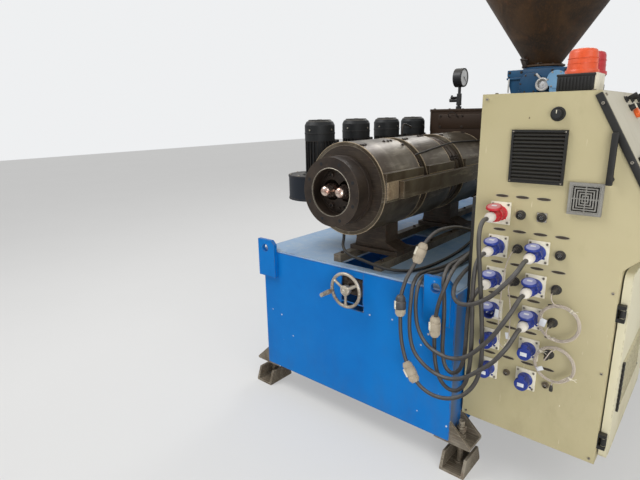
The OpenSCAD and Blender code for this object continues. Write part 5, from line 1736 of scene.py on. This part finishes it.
def base_welds():
    """Weld seams of the box and the frame of the adjusting window."""
    shape = bmesh.new()
    low, tall = 142, 660
    for x in (2, BASE_W - 2):
        rod(shape, (x, 2, low), "z", 2.4, tall, 8)
    for y in (1, BASE_L - 1):
        rod(shape, (2, y, BASE_TOP), "x", 2.6, BASE_W - 4, 8)
    for x in (1, BASE_W - 1):
        rod(shape, (x, 4, BASE_TOP), "y", 2.6, BASE_L - 8, 8)
    for x, y in product((-0.5, BASE_W + 0.5), (975, BASE_MIDDLE_Y, 2925)):
        rod(shape, (x, y, low), "z", 2, tall, 8)
    for x in (523, 651):
        block(shape, (x, -1.5, 644), (6, 3, 158), 1)
    block(shape, (523, -1.5, 640), (134, 3, 6), 1)
    finished("base_welds", shape, LOOKS["base_paint"])


def levelling_nuts():
    """Washer, nut and thread of each levelling screw."""
    shape = bmesh.new()
    thread = [(11.6, 0), (12.6, 1.2), (11.6, 2.4), (11.6, 0)]
    for x, y in product(FEET_X, FEET_Y):
        rod(shape, (x, y, 172), "z", 20, 5, 24)
        rod(shape, (x, y, 177), "z", 21, 16, 6, round_by=1.5)
        for i in range(7):
            turned(shape, thread, (x, y, 194 + i * 4), sides=20)
    finished("levelling_nuts", shape, LOOKS["worn_steel"])


handwheel_fittings()
handwheel_bearing()
base_welds()
levelling_nuts()


# Console: operator's slope, edge strips, door, walls and junction box

SLOPE_TOP, SLOPE_LOW = Vector((1497, 0, CONSOLE_TOP)), Vector((1737, 0, 1126))
SLOPE = (SLOPE_LOW - SLOPE_TOP).normalized()
OUT = Vector((-SLOPE.z, 0, SLOPE.x))
ORIGIN = (0, 0, 0)


def on_slope(shape, y, along, make):
    """Places what make() adds at the origin, along z, on the operator's slope."""
    place = SLOPE_TOP + SLOPE * along
    frame_of = Matrix((SLOPE, Vector((0, 1, 0)), OUT)).transposed().to_4x4()
    matrix = Matrix.Translation((place.x, y, place.z)) @ frame_of
    bmesh.ops.transform(shape, matrix=matrix, verts=make())


def lever(shape):
    """Short tapered lever on a round collar."""
    collar = [(0, 0), (13, 0), (13, 3), (10, 5), (10, 9), (0, 9)]
    made = turned(shape, collar, ORIGIN, sides=28)
    return made + rod(shape, (0, 0, 8), "z", 6, 32, 16, 8, round_by=1.5)


def turn_knob(shape):
    """Turning knob with a cream pointer."""
    body = [(0, 0), (14, 0), (14, 3), (11, 4), (10, 16), (9, 18), (0, 18)]
    made = turned(shape, body, ORIGIN, sides=28)
    return made + block(shape, (-9, -2.5, 17), (18, 5, 5), 1, 1)


def lamp_lens(shape, tint):
    """Small signal lamp with a domed lens."""
    ring = [(0, 0), (12, 0), (12, 4), (9.5, 5), (0, 5)]
    dome = [(0, 3), (9.5, 3), (9, 9), (5, 12), (0, 13)]
    made = turned(shape, ring, ORIGIN, sides=24)
    return made + turned(shape, dome, ORIGIN, sides=24, tint=tint)


def slope_controls():
    """Levers, knobs, an orange button and a row of lamps along the slope's upper part."""
    shape = bmesh.new()
    for y in (422, 540, 696):
        on_slope(shape, y, 31, lambda: lever(shape))
    for y, along in ((635, 57), (434, 65), (760, 60), (900, 120), (980, 120), (1060, 120)):
        on_slope(shape, y, along, lambda: turn_knob(shape))
    button = ORIGIN, "z", 16, 16, 32, 20, 2
    on_slope(shape, 477, 90, lambda: rod(shape, *button, round_by=2))
    for i, y in enumerate(range(860, 1480, 70)):
        on_slope(shape, y, 62, lambda: lamp_lens(shape, 2 + i % 2))
    looks = [LOOKS["trim_black"], CREAM, ORANGE_KNOB, RED_DOME]
    finished("slope_controls", shape, looks)


def slope_meters():
    """Large and small temperature meters with their windows and keys, and the slope's screws."""
    shape = bmesh.new()
    for y in (190, 330, 1180, 1330, 1480):
        on_slope(shape, y, 300, lambda: block(shape, (-60, -56, 0), (120, 112, 12), 3))
        on_slope(shape, y, 300, lambda: block(shape, (-50, -46, 11.4), (62, 92, 1.2), 0.5, 1))
        on_slope(shape, y, 300, lambda: block(shape, (22, -30, 11.4), (24, 60, 5), 1.5, 2))
    for y in range(470, 1100, 100):
        on_slope(shape, y, 290, lambda: block(shape, (-48, -46, 0), (96, 92, 9), 2.5))
        on_slope(shape, y, 290, lambda: block(shape, (-38, -36, 8.4), (30, 72, 1.2), 0.4, 3))
        for i in range(4):
            key = (-6, -6, 8), (12, 12, 3), 1, 2
            on_slope(shape, y - 27 + i * 18, 316, lambda: block(shape, *key))
    for y, along in product((120, 860, 1680), (16, 476)):
        on_slope(shape, y, along, lambda: cap_screw(shape, ORIGIN, "z", 10, 2, 0))
    window = moulded("meter_window", shade(58, 66, 64), rough=0.16, dust=0.1, coat=0.6)
    looks = [LOOKS["trim_black"], window, SCREW_DULL, LOOKS["gauge_black"]]
    finished("slope_meters", shape, looks)


def console_edge_trims():
    """Edge strips of the slope with their screws, and the handle beside it."""
    shape = bmesh.new()
    near, far = PANEL_Y - 14, CONSOLE_BACK
    ends = [SLOPE_TOP + SLOPE * 6, SLOPE_LOW - SLOPE * 6]
    corners = ends + [end - OUT * 22 for end in reversed(ends)]
    for y in (near, far):
        plate(shape, [(corner.x, corner.z) for corner in corners], y, 14, 3)
    block(shape, (1544, 70, 1262), (20, 10, 166), 4)
    collar = [(0, 0), (10, 0), (10, 3), (7, 5), (7, 8), (0, 8)]
    for z in (1280, 1410):
        rod(shape, (1554, 79, z), "y", 5, 21, 20)
        turned(shape, collar, (1554, PANEL_Y, z), "-y", 24)
    for along in (40, 247, 454):
        at = SLOPE_TOP + SLOPE * along - OUT * 11
        cap_screw(shape, (at.x, near + 0.2, at.z), "-y", 9, 1, 0)
        cap_screw(shape, (at.x, far + 13.8, at.z), "y", 9, 1, 0)
    looks = [LOOKS["trim_black"], SCREW_DULL]
    finished("console_edge_trims", shape, looks, stands_for=["console_trims"])


def door_fittings():
    """Lock, latch, louvre ends painted black as the shade in their openings, raised seams and hinge
    sleeves, which swing with the door.
    """
    shape = bmesh.new()
    face = DOOR_FACE
    rose = [(0, 0), (15, 0), (15, 3), (12, 5), (0, 5)]
    turned(shape, rose, (face - 0.5, 850, 608), "x", 28, 1)
    block(shape, (face + 3, 846, 590), (4.5, 8, 36), 1.5, 1)
    turned(shape, rose, (face - 0.5, 625, 426), "x", 28, 1)
    block(shape, (face + 3, 610, 423), (4.5, 30, 6), 1.5, 1)
    for y in (128.5, 880.5):
        block(shape, (face - 0.6, y, 290), (2.2, 3, 636), 0.8)
    for z in (251, 962):
        block(shape, (face - 0.6, 160, z), (2.2, 692, 3), 0.8)
    for i in range(10):
        # Black blocks at the louvres' near ends: painted shade in their openings
        block(shape, (face - 2, 196, 419 + i * 20), (10, 22, 14), 1.2, 1)
        block(shape, (face + 0.2, 616, 429 + i * 20), (7, 7, 3.4), 0.8)
    for z in (334, 832):
        sleeve = [(9, -14), (10.2, -13), (10.2, 13), (9, 14), (9, -14)]
        turned(shape, sleeve, (1640.5, 112, z), sides=28, tint=1)
    looks = [LOOKS["door_paint"], LOOKS["trim_black"]]
    finished("door_fittings", shape, looks, "door")


def console_fittings():
    """Screws, louvres, roof rings and the fixed panel of the console's other walls."""
    shape = bmesh.new()
    for x, z in ((1130, 252), (1130, 905), (1130, 1538), (1470, 1538), (1606, 252), (1606, 900)):
        cap_screw(shape, (x, CONSOLE_BACK, z), "y", 11, 1, 2)
    for i in range(14):
        block(shape, (1220, CONSOLE_BACK - 1, 420 + i * 20), (300, 5, 9), 1.5)
    for y, z in product((150, 900, 1650), (260, 900, 1530)):
        cap_screw(shape, (CONSOLE_LEFT, y, z), "-x", 11, 1, 2)
    for y, i in product((360, 1160), range(12)):
        block(shape, (CONSOLE_LEFT - 4.5, y, 1250 + i * 18), (5, 260, 7), 1.5)
    for y, x in product((160, 900, 1640), (1140, 1462)):
        cap_screw(shape, (x, y, CONSOLE_TOP), "z", 11, 1, 2)
    for y, x in product((620, 1300), (1180, 1440)):
        turned(shape, hoop(9, 14, 0, 5), (x, y, CONSOLE_TOP), sides=24, tint=1)
    for y, z in product((930, 1290, 1670), (260, 610, 960)):
        cap_screw(shape, (CONSOLE_SIDE, y, z), "x", 11, 1, 2)
    block(shape, (CONSOLE_SIDE - 0.6, 960, 300), (4, 690, 620), 1.5)
    looks = [LOOKS["console_paint"], SCREW_DULL, HOLE_SHADE]
    finished("console_fittings", shape, looks)


def junction_box_fittings():
    """Lid screws, glands with their nuts, and the left side's rib."""
    shape = bmesh.new()
    for x, y in product((925, 1073), (694, 864, 1034)):
        cap_screw(shape, (x, y, 940), "z", 11, 1, 2)
    for x, z in product(GLAND_X, GLAND_Z):
        nut = [(0, 0), (15, 0), (15, 5), (12, 7), (12, 12), (0, 12)]
        sleeve = [(8.4, 0), (13, 0), (13, 9), (11, 14), (8.4, 16), (8.4, 0)]
        turned(shape, nut, (x, 701, z), "-y", 6, 1)
        turned(shape, sleeve, (x, 689, z), "-y", 24, 3)
    side_sleeve = [(8, 0), (13, 0), (13, 8), (11, 13), (8, 15), (8, 0)]
    turned(shape, side_sleeve, (926, 760, 850), "-x", 24, 3)
    block(shape, (930.5, 716, 828), (3, 300, 84), 1)
    looks = [LOOKS["filter_grey"], SCREW_DULL, HOLE_SHADE, RUBBER]
    finished("junction_box_fittings", shape, looks)


slope_controls()
slope_meters()
console_edge_trims()
door_fittings()
console_fittings()
junction_box_fittings()


# Couplings that hang in the cables

COUPLINGS = (
    # middle, degrees that it leans about x and about y
    ((932, 5, 945), (-24, 10)), ((897, -80, 735), (-6, -4)),
    ((971, -109, 472), (-8, -40)), ((1047, -65, 680), (2, 0)),
)  # fmt: skip
GREY_COUPLING = 1
COUPLING_RIBS = 14


def cable_coupling(name, at, lean, upper):
    """Two ribbed halves, the lower one narrower, with a latch across them."""
    shape = bmesh.new()
    about_x, about_y = (math.radians(angle) for angle in lean)
    turn = Matrix.Rotation(about_y, 4, "Y") @ Matrix.Rotation(about_x, 4, "X")
    low = [(0, -44), (14, -44), (16, -41), (19, -36), (20, -33), (20, -15), (0, -15)]
    high = [
        (0, -16), (20.5, -15), (23, -12), (23, 15), (21, 17.5), (19, 19), (19, 33), (17, 37),
        (14, 43), (12, 44), (0, 44),
    ]  # fmt: skip
    turned(shape, low, at, sides=36, turn=turn)
    turned(shape, high, at, sides=36, turn=turn, tint=1)
    place = Matrix.Translation(at) @ turn
    for i in range(COUPLING_RIBS):
        rib = block(shape, (19, -1.2, -33), (2.4, 2.4, 17), 0.7)
        rib += block(shape, (18, -1.2, 20), (2.2, 2.4, 13), 0.7, 1)
        round_it = Matrix.Rotation(2 * math.pi * i / COUPLING_RIBS, 4, "Z")
        bmesh.ops.transform(shape, matrix=place @ round_it, verts=rib)
    latch = block(shape, (20.5, -6, -13), (5, 12, 34), 1.6, 2)
    bmesh.ops.transform(shape, matrix=place @ Matrix.Rotation(-2.2, 4, "Z"), verts=latch)
    looks = [LOOKS["connector_beige"], upper, CREAM]
    finished(name, shape, looks, stands_for=["cable_couplings"])


grey = moulded("coupling_grey", shade(70, 70, 72), dust=0.2)
for i, (at, lean) in enumerate(COUPLINGS):
    upper = grey if i == GREY_COUPLING else LOOKS["connector_beige"]
    cable_coupling(f"cable_coupling_{i + 1}", at, lean, upper)


# Slide, gearbox and drive

GEARBOX_Y, GEARBOX_TOP = 3100, 1525
DRIVE_FRONT, DRIVE_BACK, DRIVE_FINS = 3360, 3860, 40
FEED_BLOCK_SIDES = ((367, "-x"), (747, "x"))


def slide_screws():
    """Screws of the rails and bolts of the saddles' feet."""
    shape = bmesh.new()
    for x, y in product((475, 705), range(75, 1720, 230)):
        cap_screw(shape, (x, y, 850), "z", 16)
    for y, x, dy in product((165, 905), (470, 710), (16, 94)):
        bolt(shape, (x, y + dy, 866), "z", 15, 7)
    finished("slide_screws", shape, [BOLT_DARK, HOLE_SHADE])


def gearbox_fittings():
    """Flange bolts, lifting eyes, breather, bearing covers and the oil glass."""
    shape = bmesh.new()
    flanges = ((1190, "z"), (1160, "-z"), (1525, "z"), (1495, "-z"), (855, "z"))
    for (z, way), y, x in product(flanges, (2860, 2980, 3100, 3220, 3340), (267, 847)):
        bolt(shape, (x, y, z), way, 17, 8, 1)
    eyelet = [(17, -5), (22, -5), (24, 0), (22, 5), (17, 5), (17, -5)]
    for x, y in product((340, 774), (2920, 3280)):
        turned(shape, [(0, 0), (17, 0), (17, 6), (0, 6)], (x, y, GEARBOX_TOP), sides=28, tint=1)
        turned(shape, eyelet, (x, y, GEARBOX_TOP + 25), "y", 28, 1)
    breather = [(0, 0), (34, 0), (34, 10), (28, 14), (28, 34), (22, 40), (0, 42)]
    turned(shape, breather, (BARREL_X, GEARBOX_Y, GEARBOX_TOP), sides=36, tint=1)
    cover = [(0, 0), (96, 0), (96, 8), (90, 12), (60, 12), (52, 20), (0, 20)]
    for (x, way), z in product(((277, "-x"), (837, "x")), (1030, 1350)):
        at = (x, GEARBOX_Y, z)
        turned(shape, cover, at, way, 56)
        ring_of(shape, 8, at, way, lambda: bolt(shape, (78, 0, 12), "z", 13, 6, 1))
    glass = [(0, 0), (16, 0), (16, 6), (13, 8), (0, 8)]
    turned(shape, glass, (837, 2900, 930), "x", 28, 2)
    finished("gearbox_fittings", shape, [LOOKS["base_paint"], BOLT_DARK, DIAL])


def drive_motor_fittings():
    """Cooling fins, flange bolts, fan guard and terminal box of the drive motor."""
    shape = bmesh.new()
    x, z = BARREL_X, BARREL_Z
    for i in range(DRIVE_FINS):
        fin = block(shape, (-2, 34, 158), (4, 330, 24), 1)
        spun(shape, fin, (x, DRIVE_FRONT, z), "Y", 360 * i / DRIVE_FINS)
    flange = (x, DRIVE_FRONT + 24, z)
    ring_of(shape, 8, flange, "y", lambda: bolt(shape, (190, 0, 0), "z", 15, 7, 1))
    for radius in (30, 58, 86, 114, 142):
        turned(shape, hoop(radius, radius + 5, -1, 4), (x, DRIVE_BACK, z), "y", 56)
    for i in range(6):
        cross = Matrix.Rotation(math.pi * i / 6, 4, "Y")
        block(shape, (x - 160, DRIVE_BACK - 2, z - 2.5), (320, 4, 5), 1, turn=cross)
    block(shape, (x - 96, 3414, 1417), (192, 172, 10), 2.5)
    for dx, y in product((-84, 84), (3426, 3574)):
        cap_screw(shape, (x + dx, y, 1426.6), "z", 11, 1, 1)
    gland = [(0, 0), (17, 0), (17, 14), (13, 20), (0, 20)]
    turned(shape, gland, (x - 90, 3500, 1370), "-x", 24, 1)
    finished("drive_motor_fittings", shape, [LOOKS["drive_grey"], BOLT_DARK])


def feed_block_bolts():
    """Bolts of the feed block's sides and of its front flange."""
    shape = bmesh.new()
    for z, y, (x, way) in product((1010, BARREL_Z, 1340), (2470, 2770), FEED_BLOCK_SIDES):
        bolt(shape, (x, y, z), way, 20, 9)
    front = (BARREL_X, 2400, BARREL_Z)
    ring_of(shape, 12, front, "-y", lambda: bolt(shape, (140, 0, 0), "z", 18, 9))
    finished("feed_block_bolts", shape, BOLT_DARK)


slide_screws()
gearbox_fittings()
drive_motor_fittings()
feed_block_bolts()


# The view layer is brought up to date

bpy.context.view_layer.update()
